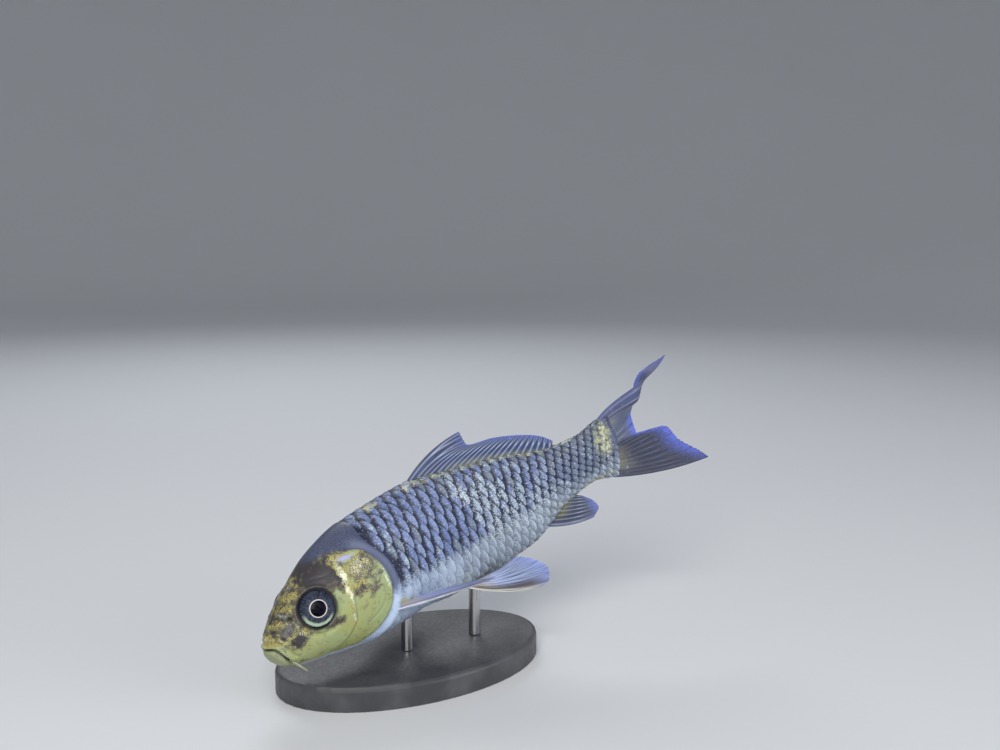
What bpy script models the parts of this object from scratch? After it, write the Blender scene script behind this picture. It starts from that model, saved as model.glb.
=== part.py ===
# A young koi carp, diving with its tail swung to its left, on a plain display stand.
# The fish is modelled level in its own frame: +X runs from snout to tail, +Z is up and -Y is its left.
# Places in that frame are fractions of the standard length, from the snout to the root of the tail fin.
# An empty then turns the finished fish to its diving pose over the stand, whose foot is at the origin.
import math

import bmesh
import bpy
import numpy as np
from mathutils import Vector

# Driving dimensions. Lengths are fractions of the standard length unless a note says metres.
STANDARD_LENGTH = 0.142  # metres
GAP = 0.0003  # metres left between pieces that touch

POSE_YAW = math.radians(13.8)
POSE_PITCH = math.radians(15.6)  # nose down
POSE_ROLL = math.radians(-13.1)
SNOUT_PLACE = (-0.406, -0.081, 0.159)  # from the foot of the stand, as fractions of the standard length

BEND_START = 0.28  # the head is straight, and the trunk bends behind it
BEND_LEFT = tuple(math.radians(a) for a in (55.2, -5.0, -27.9))  # powers 1 to 3 of the way along
BEND_UP = math.radians(2.9)

# place along the body, height above the spine, depth below it and half width
STATIONS = (
    (0.014, 0.0010, 0.0470, 0.025),  # lips
    (0.036, 0.0230, 0.0620, 0.041),
    (0.070, 0.0530, 0.0780, 0.056),  # nostrils
    (0.125, 0.0860, 0.0930, 0.073),  # eyes
    (0.200, 0.1250, 0.1130, 0.089),  # cheek
    (0.290, 0.1480, 0.1320, 0.097),  # gill opening
    (0.400, 0.1555, 0.1310, 0.098),
    (0.490, 0.1580, 0.1430, 0.092),  # start of the dorsal fin
    (0.600, 0.1405, 0.1405, 0.079),
    (0.720, 0.1160, 0.1290, 0.060),
    (0.860, 0.0770, 0.0700, 0.036),  # end of the anal fin
    (0.930, 0.0725, 0.0580, 0.026),
    (1.000, 0.0860, 0.0760, 0.014),  # root of the tail fin
)
# place along the body and height of its widest level: the snout droops below the spine
LEVELS = ((0.014, -0.022), (0.036, -0.019), (0.070, -0.010), (0.125, 0.0))
SNOUT_START = 0.014
SNOUT_ROUNDING = 0.018  # length over which the snout closes
RING_POINTS = 28
RING_STEP = 0.027

HEAD_END = 0.316
TRUNK_MIDDLE = 0.560
TRUNK_END = 0.800

GILL_CENTRE = (0.253, -0.003)  # along, up
GILL_HALF_SIZE = (0.0515, 0.097)
GILL_LEAN = math.radians(12)
GILL_THICKNESS = 0.011
GILL_LOOPS = (0.35, 0.65, 0.87, 1.0)  # rings of the cover's surface, as shares of its size

# the mouth line in the side view, from the lips back to the corner, then the jaw's lower edge
JAW_OUTLINE = (
    (-0.03, -0.009), (0.016, -0.0112), (0.023, -0.018), (0.028, -0.028), (0.034, -0.040), (0.0415, -0.0515),
    (0.050, -0.060), (0.098, -0.070), (0.110, -0.13), (-0.03, -0.13),
)
JAW_END = 0.15  # the jaw's own length of body, before its outline is cut from it

EYE_CENTRE = (0.1303, 0.0582, 0.0252)
EYE_AXIS = (-0.309, 0.914, 0.262)  # where the eye looks: out, a little forward and up
EYE_RADIUS = 0.041
EYE_HALF_DEPTH = 0.026

BARBEL_RADIUS = 0.0040  # at the root, and half of it at the tip
# root, bend and tip: the upper feeler stands on the lip, the lower one at the corner of the mouth
UPPER_BARBEL = ((0.029, 0.026, -0.014), (0.029, 0.045, -0.024), (0.034, 0.045, -0.036))
LOWER_BARBEL = ((0.046, 0.022, -0.050), (0.050, 0.050, -0.064), (0.060, 0.052, -0.084))

FIN_EDGE = 0.0036  # thickness at the margin, about 0.5 mm
FIN_ROOT = 0.0120  # thickness at the root
FIN_EMBED = 0.012  # roots start this far inside the body, which then cuts them to its shape

DORSAL_BASE = (0.480, 0.862)
ANAL_BASE = (0.768, 0.862)
# share of the base from front to rear, then place along and height of the ray's tip
DORSAL_MARGIN = (
    (0, 0.663, 0.208), (0.10, 0.668, 0.172), (0.35, 0.735, 0.158), (0.7, 0.812, 0.130), (0.88, 0.850, 0.108),
    (1, 0.872, 0.086),
)
ANAL_MARGIN = ((0, 0.896, -0.139), (0.3, 0.918, -0.120), (0.65, 0.910, -0.098), (1, 0.890, -0.076))
DORSAL_BOW = -0.10  # how far the front rays bow, as a share of their reach
ANAL_BOW = 0.08

TAIL_ROOT = 0.985
TAIL_ROOT_HALF = 0.072
# share of the tail's depth from its middle to its edge, then place along and height of the ray's tip
LOWER_TAIL_MARGIN = (
    (0, 1.088, -0.0011), (0.22, 1.172, -0.020), (0.5, 1.190, -0.064), (0.8, 1.238, -0.125), (1, 1.254, -0.150)
)
UPPER_TAIL_MARGIN = (
    (0, 1.088, 0.006), (0.22, 1.123, 0.040), (0.5, 1.168, 0.076), (0.8, 1.215, 0.090), (1, 1.247, 0.149)
)
LOWER_TAIL_BOWS = (0.05, 0.05)
UPPER_TAIL_BOWS = (0.10, -0.12)
# how far the upper lobe folds away to the fish's right, from the fork out to its leading edge
TAIL_CURL = ((0, 0.0), (0.1, 0.032), (0.22, 0.060), (0.5, 0.050), (0.8, 0.020), (1, 0.0))
# the upper lobe turns about its leading ray by this many degrees, between these places along the fish
TAIL_TWIST = 85.0
TWIST_START = 1.12
TWIST_END = 1.20

# Paired fins: front and rear of the base, lengths by share from the leading ray to the trailing one,
# directions of those two rays, and how far the blade bows.
PECTORAL = {
    "base": ((0.312, 0.085, -0.075), (0.336, 0.069, -0.070)),
    "lengths": ((0, 0.262), (0.15, 0.270), (0.45, 0.240), (0.75, 0.185), (1, 0.128)),
    "first": (0.75, 0.69, 0.045),
    "last": (0.97, 0.17, -0.150),
    "camber": 0.02,
    "rays": 12,
    "steps": 7,
}
PELVIC = {
    "base": ((0.515, 0.045, -0.126), (0.552, 0.036, -0.130)),
    "lengths": ((0, 0.200), (0.15, 0.214), (0.35, 0.212), (0.7, 0.172), (1, 0.130)),
    "first": (0.878, 0.306, -0.372),
    "last": (0.837, 0.503, 0.231),
    "camber": 0.10,
    "rays": 10,
    "steps": 6,
}

# The stand, in metres but for the rods' places along the fish.
BASE_HALF_LENGTH = 0.047
BASE_HALF_WIDTH = 0.029
BASE_HEIGHT = 0.008
BASE_EDGE = 0.0015  # radius of the base's upper edge
ROD_RADIUS = 0.002
ROD_SUNK = 0.003  # rods start this far inside the belly, which then cuts them to its shape
ROD_PLACES = {"front": 0.365, "rear": 0.555}

LEAD_STEPS = 40  # points that follow the upper lobe's leading ray
CUTTER_HALF_WIDTH = 0.2
CUTTER_PROUD = 0.02  # how far a pocket's cutter stands out of the skin


def smooth_curve(points):
    """A curve through (place, value) points that never overshoots them."""
    places, values = (np.array(column, float) for column in zip(*points))
    steps = np.diff(places)
    slopes = np.diff(values) / steps
    tangents = np.zeros(len(places))
    tangents[0] = slopes[0]
    tangents[-1] = slopes[-1]
    for i in range(1, len(slopes)):
        if slopes[i - 1] * slopes[i] > 0:
            before = 2 * steps[i] + steps[i - 1]
            after = steps[i] + 2 * steps[i - 1]
            tangents[i] = (before + after) / (before / slopes[i - 1] + after / slopes[i])

    def value(x):
        x = min(max(x, places[0]), places[-1])
        i = min(int(np.searchsorted(places, x, side="right")) - 1, len(slopes) - 1)
        t = (x - places[i]) / steps[i]
        start = (1 + 2 * t) * (1 - t) ** 2 * values[i] + t * (1 - t) ** 2 * steps[i] * tangents[i]
        end = t * t * (3 - 2 * t) * values[i + 1] - t * t * (1 - t) * steps[i] * tangents[i + 1]
        return float(start + end)

    return value


body_top = smooth_curve([(s[0], s[1]) for s in STATIONS])
body_bottom = smooth_curve([(s[0], s[2]) for s in STATIONS])
body_width = smooth_curve([(s[0], s[3]) for s in STATIONS])
body_level = smooth_curve(LEVELS)


def snout_scale(x):
    """How far the snout has opened to its full size, as a quarter of an ellipse."""
    share = (x - SNOUT_START) / SNOUT_ROUNDING
    return 1.0 if share >= 1 else math.sqrt(max(0.0, 1 - (1 - share) ** 2))


def spine_axes(x):
    """Directions along, right and up at a place on the spine."""
    u = max(0.0, (min(x, 1.0) - BEND_START) / (1 - BEND_START))
    left = sum(b * u ** (power + 1) for power, b in enumerate(BEND_LEFT))
    up = BEND_UP * u
    along = Vector((math.cos(left) * math.cos(up), -math.sin(left) * math.cos(up), math.sin(up)))
    right = Vector((math.sin(left), math.cos(left), 0))
    return along, right, along.cross(right)


SPINE_STEP = 0.01
spine_points = [Vector((0, 0, 0))]
for step in range(140):
    spine_points.append(spine_points[-1] + spine_axes((step + 0.5) * SPINE_STEP)[0] * SPINE_STEP)


def spine_point(x):
    if x <= 0:
        return Vector((x, 0, 0))
    i = min(int(x / SPINE_STEP), len(spine_points) - 2)
    return spine_points[i].lerp(spine_points[i + 1], x / SPINE_STEP - i)


def place(x, y, z):
    """A point of the level fish, bent with its spine, in metres."""
    _, right, up = spine_axes(x)
    return (spine_point(x) + right * y + up * z) * STANDARD_LENGTH


def skin_point(x, turn, grow=0.0):
    """A point on the body: turn 0 is its right side, a quarter turn its back."""
    scale = snout_scale(x)
    level = body_level(x)
    y = (body_width(x) * scale + grow) * math.cos(turn)
    height = body_top(x) - level if math.sin(turn) > 0 else body_bottom(x) + level
    return place(x, y, level + (height * scale + grow) * math.sin(turn))


def skin_side(x, z):
    """Half width of the body at a place and height."""
    height = body_top(x) if z > 0 else body_bottom(x)
    return body_width(x) * math.sqrt(max(0.0, 1 - (z / height) ** 2))


def make_material(name, colour, roughness, metallic=0.0):
    material = bpy.data.materials.new(name)
    material.use_nodes = True
    shader = material.node_tree.nodes["Principled BSDF"]
    shader.inputs["Base Color"].default_value = (*colour, 1)
    shader.inputs["Roughness"].default_value = roughness
    shader.inputs["Metallic"].default_value = metallic
    material.diffuse_color = (*colour, 1)
    return material


def make_object(name, points, faces, material, parent=None, crease=50):
    """An object of the given mesh, with its faces turned outwards."""
    mesh = bpy.data.meshes.new(name)
    mesh.from_pydata([tuple(point) for point in points], [], faces)
    shaper = bmesh.new()
    shaper.from_mesh(mesh)
    bmesh.ops.recalc_face_normals(shaper, faces=shaper.faces)
    shaper.to_mesh(mesh)
    shaper.free()
    mesh.materials.append(material)
    mesh.shade_smooth()
    mesh.set_sharp_from_angle(angle=math.radians(crease))
    obj = bpy.data.objects.new(name, mesh)
    bpy.context.scene.collection.objects.link(obj)
    obj.parent = parent
    return obj


def loft(rings, start_cap=True, end_cap=True):
    """Points and faces of a tube through rings of the same number of points."""
    count = len(rings[0])
    points = [point for ring in rings for point in ring]
    faces = []
    for r in range(len(rings) - 1):
        for i in range(count):
            j = (i + 1) % count
            faces.append((r * count + i, r * count + j, (r + 1) * count + j, (r + 1) * count + i))
    for wanted, first in ((start_cap, 0), (end_cap, (len(rings) - 1) * count)):
        if wanted:
            middle = len(points)
            points.append(sum((points[first + i] for i in range(count)), Vector()) / count)
            faces += [(middle, first + i, first + (i + 1) % count) for i in range(count)]
    return points, faces


def cutter(obj):
    """Marks an object that only cuts others."""
    obj.hide_render = True
    obj.display_type = "WIRE"
    return obj


def cut(obj, tool, operation="DIFFERENCE"):
    modifier = obj.modifiers.new(operation.title() + " " + tool.name, "BOOLEAN")
    modifier.operation = operation
    modifier.solver = "EXACT"
    modifier.object = tool


def body_length(name, start, end, material, parent, grow=0.0):
    """A length of the body as one solid, flat where it is parted from the next."""
    count = max(2, round((end - start) / RING_STEP))
    places = [start + (end - start) * i / count for i in range(count + 1)]
    if start <= SNOUT_START:
        closing = [SNOUT_START + SNOUT_ROUNDING * (1 - math.cos(math.radians(a))) for a in (14, 30, 48, 68)]
        places = closing + [p for p in places if p >= SNOUT_START + SNOUT_ROUNDING]
    turns = [2 * math.pi * i / RING_POINTS for i in range(RING_POINTS)]
    rings = [[skin_point(x, turn, grow) for turn in turns] for x in places]
    return make_object(name, *loft(rings), material, parent)


def side_prism(name, outline, half_width, material, parent):
    """A cutter: an outline in the side view, carried across the whole width."""
    rings = [[place(x, side * half_width, z) for x, z in outline] for side in (-1, 1)]
    return cutter(make_object(name, *loft(rings), material, parent))


def grown_outline(outline, amount):
    """The outline, which runs clockwise, with each edge moved out by the same amount."""
    grown = []
    for i, point in enumerate(outline):
        before = (Vector(point) - Vector(outline[i - 1])).normalized()
        after = (Vector(outline[(i + 1) % len(outline)]) - Vector(point)).normalized()
        normals = [Vector((-edge.y, edge.x)) for edge in (before, after)]
        corner = (normals[0] + normals[1]).normalized()
        grown.append(tuple(Vector(point) + corner * amount / corner.dot(normals[0])))
    return grown


def gill_plate(name, side, grow, depth, proud, material, parent):
    """A gill cover's solid: an oval of the cheek's surface, carried in to its thickness."""
    around = 22
    cosine, sine = math.cos(GILL_LEAN), math.sin(GILL_LEAN)

    def oval(turn, scale):
        a = (GILL_HALF_SIZE[0] + grow) * scale * math.cos(turn)
        b = (GILL_HALF_SIZE[1] + grow) * scale * math.sin(turn)
        return GILL_CENTRE[0] + a * cosine + b * sine, GILL_CENTRE[1] - a * sine + b * cosine

    def sheet(shift):
        flat = [GILL_CENTRE] + [oval(2 * math.pi * i / around, s) for s in GILL_LOOPS for i in range(around)]
        return [place(x, side * (skin_side(x, z) + shift), z) for x, z in flat]

    outer = sheet(proud)
    inner = sheet(-depth)
    faces = []
    for first, turned in ((0, 1), (len(outer), -1)):
        for i in range(around):
            j = (i + 1) % around
            faces.append((first, first + 1 + i, first + 1 + j)[::turned])
            for k in range(len(GILL_LOOPS) - 1):
                a, b = first + 1 + k * around, first + 1 + (k + 1) * around
                faces.append((a + i, b + i, b + j, a + j)[::turned])
    rim = 1 + (len(GILL_LOOPS) - 1) * around
    for i in range(around):
        j = (i + 1) % around
        faces.append((rim + i, rim + len(outer) + i, rim + len(outer) + j, rim + j))
    return make_object(name, outer + inner, faces, material, parent)


def eye_ball(name, side, grow, material, parent):
    """A lens-like ball, flatter along the way that it looks."""
    axis = Vector((EYE_AXIS[0], side * EYE_AXIS[1], EYE_AXIS[2])).normalized()
    across = axis.cross(Vector((0, 0, 1))).normalized()
    up = across.cross(axis)
    centre = Vector((EYE_CENTRE[0], side * EYE_CENTRE[1], EYE_CENTRE[2]))
    radius, half_depth = EYE_RADIUS + grow, EYE_HALF_DEPTH + grow
    around, bands = 20, 10
    rings = []
    for band in range(1, bands):
        tilt = math.pi * band / bands
        ring = []
        for i in range(around):
            turn = 2 * math.pi * i / around
            offset = (across * math.cos(turn) + up * math.sin(turn)) * radius * math.sin(tilt)
            ring.append((centre + offset + axis * half_depth * math.cos(tilt)) * STANDARD_LENGTH)
        rings.append(ring)
    points, faces = loft(rings)
    # The caps' middles are the poles, out to the full depth.
    points[-2] = (centre + axis * half_depth) * STANDARD_LENGTH
    points[-1] = (centre - axis * half_depth) * STANDARD_LENGTH
    return make_object(name, points, faces, material, parent)


def barbel(name, side, route, material, parent):
    """A tapering feeler from its root to its tip, drawn towards the point between them."""
    root, middle, tip = (Vector((p[0], side * p[1], p[2])) for p in route)
    steps, around = 8, 8
    rings = []
    for step in range(steps + 1):
        t = step / steps
        point = root * (1 - t) ** 2 + middle * 2 * t * (1 - t) + tip * t * t
        along = ((middle - root) * (1 - t) + (tip - middle) * t).normalized()
        across = along.cross(Vector((0, 0, 1))).normalized()
        up = across.cross(along)
        radius = BARBEL_RADIUS * (1 - 0.5 * t)
        turns = [2 * math.pi * i / around for i in range(around)]
        ring = [point + (across * math.cos(a) + up * math.sin(a)) * radius for a in turns]
        rings.append([point * STANDARD_LENGTH for point in ring])
    return make_object(name, *loft(rings), material, parent)


def ray_path(root, tip, bows, steps):
    """Points along one fin ray, bowed off the straight line at its first and second third."""
    root, tip = Vector(root), Vector(tip)
    first = root.lerp(tip, 1 / 3) + bows[0]
    second = root.lerp(tip, 2 / 3) + bows[1]
    path = []
    for step in range(steps + 1):
        t = step / steps
        ends = root * (1 - t) ** 3 + tip * t ** 3
        path.append(ends + first * 3 * t * (1 - t) ** 2 + second * 3 * t * t * (1 - t))
    return path


def fin(name, rays, material, parent, root_thickness=FIN_ROOT):
    """A closed thin solid over a fan of rays, thickest at its root."""
    grid = np.array([[place(*point) for point in ray] for ray in rays])
    along = np.gradient(grid, axis=1)
    across = np.gradient(grid, axis=0)
    normals = np.cross(along, across)
    normals /= np.linalg.norm(normals, axis=2, keepdims=True)
    rows, steps = grid.shape[:2]
    share = np.linspace(0, 1, steps)
    thickness = FIN_EDGE + (root_thickness - FIN_EDGE) * (1 - share) ** 1.5
    offset = normals * (thickness * STANDARD_LENGTH / 2)[None, :, None]
    points = np.concatenate([(grid + offset).reshape(-1, 3), (grid - offset).reshape(-1, 3)])
    back = rows * steps
    faces = []
    for r in range(rows - 1):
        for s in range(steps - 1):
            a, b = r * steps + s, (r + 1) * steps + s
            faces.append((a, b, b + 1, a + 1))
            faces.append((back + a, back + a + 1, back + b + 1, back + b))
    edge = list(range(steps))
    edge += [r * steps + steps - 1 for r in range(1, rows)]
    edge += [(rows - 1) * steps + s for s in range(steps - 2, -1, -1)]
    edge += [r * steps for r in range(rows - 2, 0, -1)]
    for i, a in enumerate(edge):
        b = edge[(i + 1) % len(edge)]
        faces.append((a, b, back + b, back + a))
    return make_object(name, points, faces, material, parent)


def upright_fin(name, base, margin, bow, count, steps, material, parent, fold=None):
    """A fin on the middle line: roots along the back or belly, tips along a margin curve."""
    tip_x = smooth_curve([(p[0], p[1]) for p in margin])
    tip_z = smooth_curve([(p[0], p[2]) for p in margin])
    rays = []
    for i in range(count):
        u = i / (count - 1)
        root = base(u)
        tip = Vector((tip_x(u), 0, tip_z(u)))
        reach = tip - Vector(root)
        forward = Vector((reach.z, 0, -reach.x))
        path = ray_path(root, tip, [forward * amount for amount in bow(u)], steps)
        if fold:
            for step, point in enumerate(path):
                fold(point, u, step / steps)
        rays.append(path)
    return fin(name, rays, material, parent)


def dorsal_base(u):
    x = DORSAL_BASE[0] + (DORSAL_BASE[1] - DORSAL_BASE[0]) * u
    return x, 0, body_top(x) - FIN_EMBED


def anal_base(u):
    x = ANAL_BASE[0] + (ANAL_BASE[1] - ANAL_BASE[0]) * u
    return x, 0, -body_bottom(x) + FIN_EMBED


tail_curl = smooth_curve(TAIL_CURL)


def tail_lobe(name, direction, margin, bows, folded, material, parent):
    """One lobe of the tail fin, from the middle of the tail out to its strong edge rays."""
    split = GAP / STANDARD_LENGTH / 2
    tip = Vector((margin[-1][1], 0, margin[-1][2]))

    def base(u):
        return TAIL_ROOT, 0, direction * (split + (TAIL_ROOT_HALF - split) * u)

    def bow(u):
        return [-direction * amount * u for amount in bows]

    reach = tip - Vector(base(1))
    forward = Vector((reach.z, 0, -reach.x))
    lead = ray_path(base(1), tip, [forward * amount for amount in bow(1)], LEAD_STEPS)

    def fold(point, u, v):
        """Curls the blade to the side and turns its outer part about the leading ray."""
        lead_z = float(np.interp(point.x, [p.x for p in lead], [p.z for p in lead]))
        share = min(1, max(0, (point.x - TWIST_START) / (TWIST_END - TWIST_START)))
        turn = math.radians(TAIL_TWIST) * share * share * (3 - 2 * share)
        below = lead_z - point.z
        point.y += tail_curl(u) * v ** 1.5 + below * math.sin(turn)
        point.z = lead_z - below * math.cos(turn)

    return upright_fin(name, base, margin, bow, 14, 10, material, parent, fold if folded else None)


def side_fin(name, side, shape, material, parent):
    """A paired fin: rays fan from a leading direction to a trailing one, with a cambered blade."""
    front, rear = (Vector((p[0], side * p[1], p[2])) for p in shape["base"])
    first, last = (Vector((d[0], side * d[1], d[2])).normalized() for d in (shape["first"], shape["last"]))
    length = smooth_curve(shape["lengths"])
    droop = Vector((0, 0, -1)) * shape["camber"]
    rays = []
    for i in range(shape["rays"]):
        u = i / (shape["rays"] - 1)
        reach = (first * (1 - u) + last * u).normalized() * length(u)
        root = front.lerp(rear, u) - reach.normalized() * FIN_EMBED
        rays.append(ray_path(root, root + reach, [droop * length(u) * (1 - 0.6 * u)] * 2, shape["steps"]))
    return fin(name, rays, material, parent)


def stand_base(material):
    """A flat oval plate with a rounded upper edge."""
    around = 48
    levels = ((0.0, 0.0003), (0.0003, 0.0), (BASE_HEIGHT - BASE_EDGE, 0.0))
    levels += tuple(
        (BASE_HEIGHT - BASE_EDGE * (1 - math.sin(math.radians(a))), BASE_EDGE * (1 - math.cos(math.radians(a))))
        for a in (30, 60, 90)
    )
    rings = []
    for height, inset in levels:
        ring = []
        for i in range(around):
            turn = 2 * math.pi * i / around
            x = (BASE_HALF_LENGTH - inset) * math.cos(turn)
            ring.append(Vector((x, (BASE_HALF_WIDTH - inset) * math.sin(turn), height)))
        rings.append(ring)
    return make_object("stand_base", *loft(rings), material)


def stand_rod(name, share, envelope, pose, material):
    """An upright round rod under the belly, cut to the belly's shape."""
    belly = pose @ place(share, 0, -body_bottom(share))
    around = 16
    rings = []
    for height in (BASE_HEIGHT + GAP, belly.z + ROD_SUNK):
        turns = [2 * math.pi * i / around for i in range(around)]
        ring = [Vector((math.cos(a), math.sin(a), 0)) * ROD_RADIUS for a in turns]
        rings.append([Vector((belly.x, belly.y, height)) + point for point in ring])
    rod = make_object(name, *loft(rings), material)
    cut(rod, envelope)


def clear_scene():
    for obj in list(bpy.data.objects):
        bpy.data.objects.remove(obj)


def build_fish(pose):
    gold = make_material("head_gold", (0.32, 0.28, 0.07), 0.35)
    pale = make_material("jaw_pale", (0.60, 0.56, 0.36), 0.35)
    cover = make_material("gill_cover_gold", (0.42, 0.38, 0.13), 0.3)
    flank = make_material("flank_blue_grey", (0.16, 0.17, 0.23), 0.35)
    fins = make_material("fin_grey", (0.28, 0.27, 0.32), 0.4)
    eyes = make_material("eye_dark", (0.02, 0.02, 0.03), 0.05)
    feeler = make_material("barbel_yellow", (0.55, 0.45, 0.18), 0.4)
    gap = GAP / STANDARD_LENGTH

    envelope = cutter(body_length("body_envelope", SNOUT_START, 1.0, flank, pose, gap))

    head = body_length("head", SNOUT_START, HEAD_END - gap / 2, gold, pose)
    jaw = body_length("jaw", SNOUT_START, JAW_END, pale, pose)
    jaw_space = side_prism("jaw_space", grown_outline(JAW_OUTLINE, gap / 2), CUTTER_HALF_WIDTH, pale, pose)
    jaw_block = side_prism("jaw_block", grown_outline(JAW_OUTLINE, -gap / 2), CUTTER_HALF_WIDTH, pale, pose)
    cut(head, jaw_space)
    cut(jaw, jaw_block, "INTERSECT")

    body_length("trunk_front", HEAD_END + gap / 2, TRUNK_MIDDLE - gap / 2, flank, pose)
    body_length("trunk_rear", TRUNK_MIDDLE + gap / 2, TRUNK_END - gap / 2, flank, pose)
    body_length("tail_stalk", TRUNK_END + gap / 2, 1.0, flank, pose)

    for word, side in (("left", -1), ("right", 1)):
        eye_ball("eye_" + word, side, 0, eyes, pose)
        socket = cutter(eye_ball("eye_socket_" + word, side, gap, eyes, pose))
        cut(head, socket)

        gill_plate("gill_cover_" + word, side, 0, GILL_THICKNESS, 0, cover, pose)
        pocket = gill_plate("gill_pocket_" + word, side, gap, GILL_THICKNESS + gap, CUTTER_PROUD, cover, pose)
        cut(head, cutter(pocket))

        for name, route in (("barbel_upper_", UPPER_BARBEL), ("barbel_lower_", LOWER_BARBEL)):
            cut(barbel(name + word, side, route, feeler, pose), envelope)
        for name, shape in (("pectoral_fin_", PECTORAL), ("pelvic_fin_", PELVIC)):
            cut(side_fin(name + word, side, shape, fins, pose), envelope)

    dorsal = upright_fin(
        "dorsal_fin", dorsal_base, DORSAL_MARGIN, lambda u: [DORSAL_BOW * (1 - u)] * 2, 20, 5, fins, pose
    )
    anal = upright_fin(
        "anal_fin", anal_base, ANAL_MARGIN, lambda u: [ANAL_BOW * (1 - u)] * 2, 10, 6, fins, pose
    )
    lower_lobe = tail_lobe("tail_fin_lower", -1, LOWER_TAIL_MARGIN, LOWER_TAIL_BOWS, False, fins, pose)
    upper_lobe = tail_lobe("tail_fin_upper", 1, UPPER_TAIL_MARGIN, UPPER_TAIL_BOWS, True, fins, pose)
    for blade in (dorsal, anal, lower_lobe, upper_lobe):
        cut(blade, envelope)
    return envelope


def build_stand(envelope, pose):
    steel = make_material("rod_steel", (0.62, 0.62, 0.64), 0.3, 1.0)
    base = make_material("base_charcoal", (0.035, 0.036, 0.04), 0.5)
    stand_base(base)
    for word, share in ROD_PLACES.items():
        stand_rod("stand_rod_" + word, share, envelope, pose, steel)


def main():
    clear_scene()
    pose = bpy.data.objects.new("fish_pose", None)
    bpy.context.scene.collection.objects.link(pose)
    pose.location = Vector(SNOUT_PLACE) * STANDARD_LENGTH
    pose.rotation_euler = (POSE_ROLL, -POSE_PITCH, POSE_YAW)
    bpy.context.view_layer.update()
    envelope = build_fish(pose)
    build_stand(envelope, pose.matrix_world.copy())


main()
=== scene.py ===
import math
import bpy
import numpy as np
from mathutils import Euler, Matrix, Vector


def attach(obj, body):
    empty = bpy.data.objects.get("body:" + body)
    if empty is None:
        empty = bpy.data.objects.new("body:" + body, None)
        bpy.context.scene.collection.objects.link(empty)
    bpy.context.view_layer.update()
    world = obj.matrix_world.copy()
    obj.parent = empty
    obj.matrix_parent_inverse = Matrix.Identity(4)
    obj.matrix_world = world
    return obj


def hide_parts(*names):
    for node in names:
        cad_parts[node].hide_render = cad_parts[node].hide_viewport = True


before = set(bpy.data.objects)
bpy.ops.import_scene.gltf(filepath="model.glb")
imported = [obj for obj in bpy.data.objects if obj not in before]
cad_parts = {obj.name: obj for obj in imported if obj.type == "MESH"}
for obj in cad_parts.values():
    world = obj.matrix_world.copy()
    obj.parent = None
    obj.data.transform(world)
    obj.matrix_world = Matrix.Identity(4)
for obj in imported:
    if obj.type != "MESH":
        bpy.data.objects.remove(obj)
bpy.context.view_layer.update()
print("frame loaded with", len(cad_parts), "nodes")

# Places are fractions of the standard length on a level fish with a straight spine:
# x back from the snout, y to the fish's right, z up. onFish() bends and poses them.
fish = {
    "length": 0.142,  # snout to tail root, in metres
    "turn": (-13.1, -15.6, 13.8),  # roll, nose down and yaw, in degrees
    "snout": (-0.406, -0.081, 0.159),  # from the foot of the stand
    "bendStart": 0.28,
    "bendLeft": (55.2, -5.0, -27.9),  # degrees, powers 1 to 3 of the way along
    "bendUp": 2.9,
    # place, height above and depth below the middle line, half width
    "stations": (
        (0.014, 0.0010, 0.0470, 0.025), (0.036, 0.0230, 0.0620, 0.041), (0.070, 0.0530, 0.0780, 0.056),
        (0.125, 0.0860, 0.0930, 0.073), (0.200, 0.1250, 0.1130, 0.089), (0.290, 0.1480, 0.1320, 0.097),
        (0.400, 0.1555, 0.1310, 0.098), (0.490, 0.1580, 0.1430, 0.092), (0.600, 0.1405, 0.1405, 0.079),
        (0.720, 0.1160, 0.1290, 0.060), (0.860, 0.0770, 0.0700, 0.036), (0.930, 0.0725, 0.0580, 0.026),
        (1.000, 0.0860, 0.0760, 0.014), (1.030, 0.0800, 0.0700, 0.004),
    ),
    "levels": ((0.014, -0.022), (0.036, -0.019), (0.070, -0.010), (0.125, 0.0)),
    "snoutStart": 0.014,
    "snoutRounding": 0.018,
    "coatDepth": 0.0048,  # how far the skin lies under the scales
    "rootDepth": 0.012,  # how far the fins start inside the body
}


def curveThrough(points):
    # smooth through the points, without overshooting them
    places, values = (np.array(column, float) for column in zip(*points))
    steps = np.diff(places)
    slopes = np.diff(values) / steps
    tangents = np.r_[slopes[0], np.zeros(len(slopes) - 1), slopes[-1]]
    for i in range(1, len(slopes)):
        if slopes[i - 1] * slopes[i] > 0:
            before = 2 * steps[i] + steps[i - 1]
            after = steps[i] + 2 * steps[i - 1]
            tangents[i] = (before + after) / (before / slopes[i - 1] + after / slopes[i])

    def value(x):
        x = np.clip(x, places[0], places[-1])
        i = np.clip(np.searchsorted(places, x, side="right") - 1, 0, len(slopes) - 1)
        t = (x - places[i]) / steps[i]
        start = (1 + 2 * t) * (1 - t) ** 2 * values[i] + t * (1 - t) ** 2 * steps[i] * tangents[i]
        return start + t * t * (3 - 2 * t) * values[i + 1] - t * t * (1 - t) * steps[i] * tangents[i + 1]

    return value


def columnCurve(rows, number):
    return curveThrough([(row[0], row[number]) for row in rows])


def smooth(value, start, end):
    t = np.clip((value - start) / (end - start), 0, 1)
    return t * t * (3 - 2 * t)


def bump(value, width):
    return np.exp(-(value / width) ** 2)


def unit(vectors):
    return vectors / np.maximum(np.linalg.norm(vectors, axis=-1, keepdims=True), 1e-12)


bodyTop, bodyBottom, bodyWidth = (columnCurve(fish["stations"], number) for number in (1, 2, 3))
bodyLevel = curveThrough(fish["levels"])
poseTurn = np.array(Euler([math.radians(angle) for angle in fish["turn"]]).to_matrix())


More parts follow.
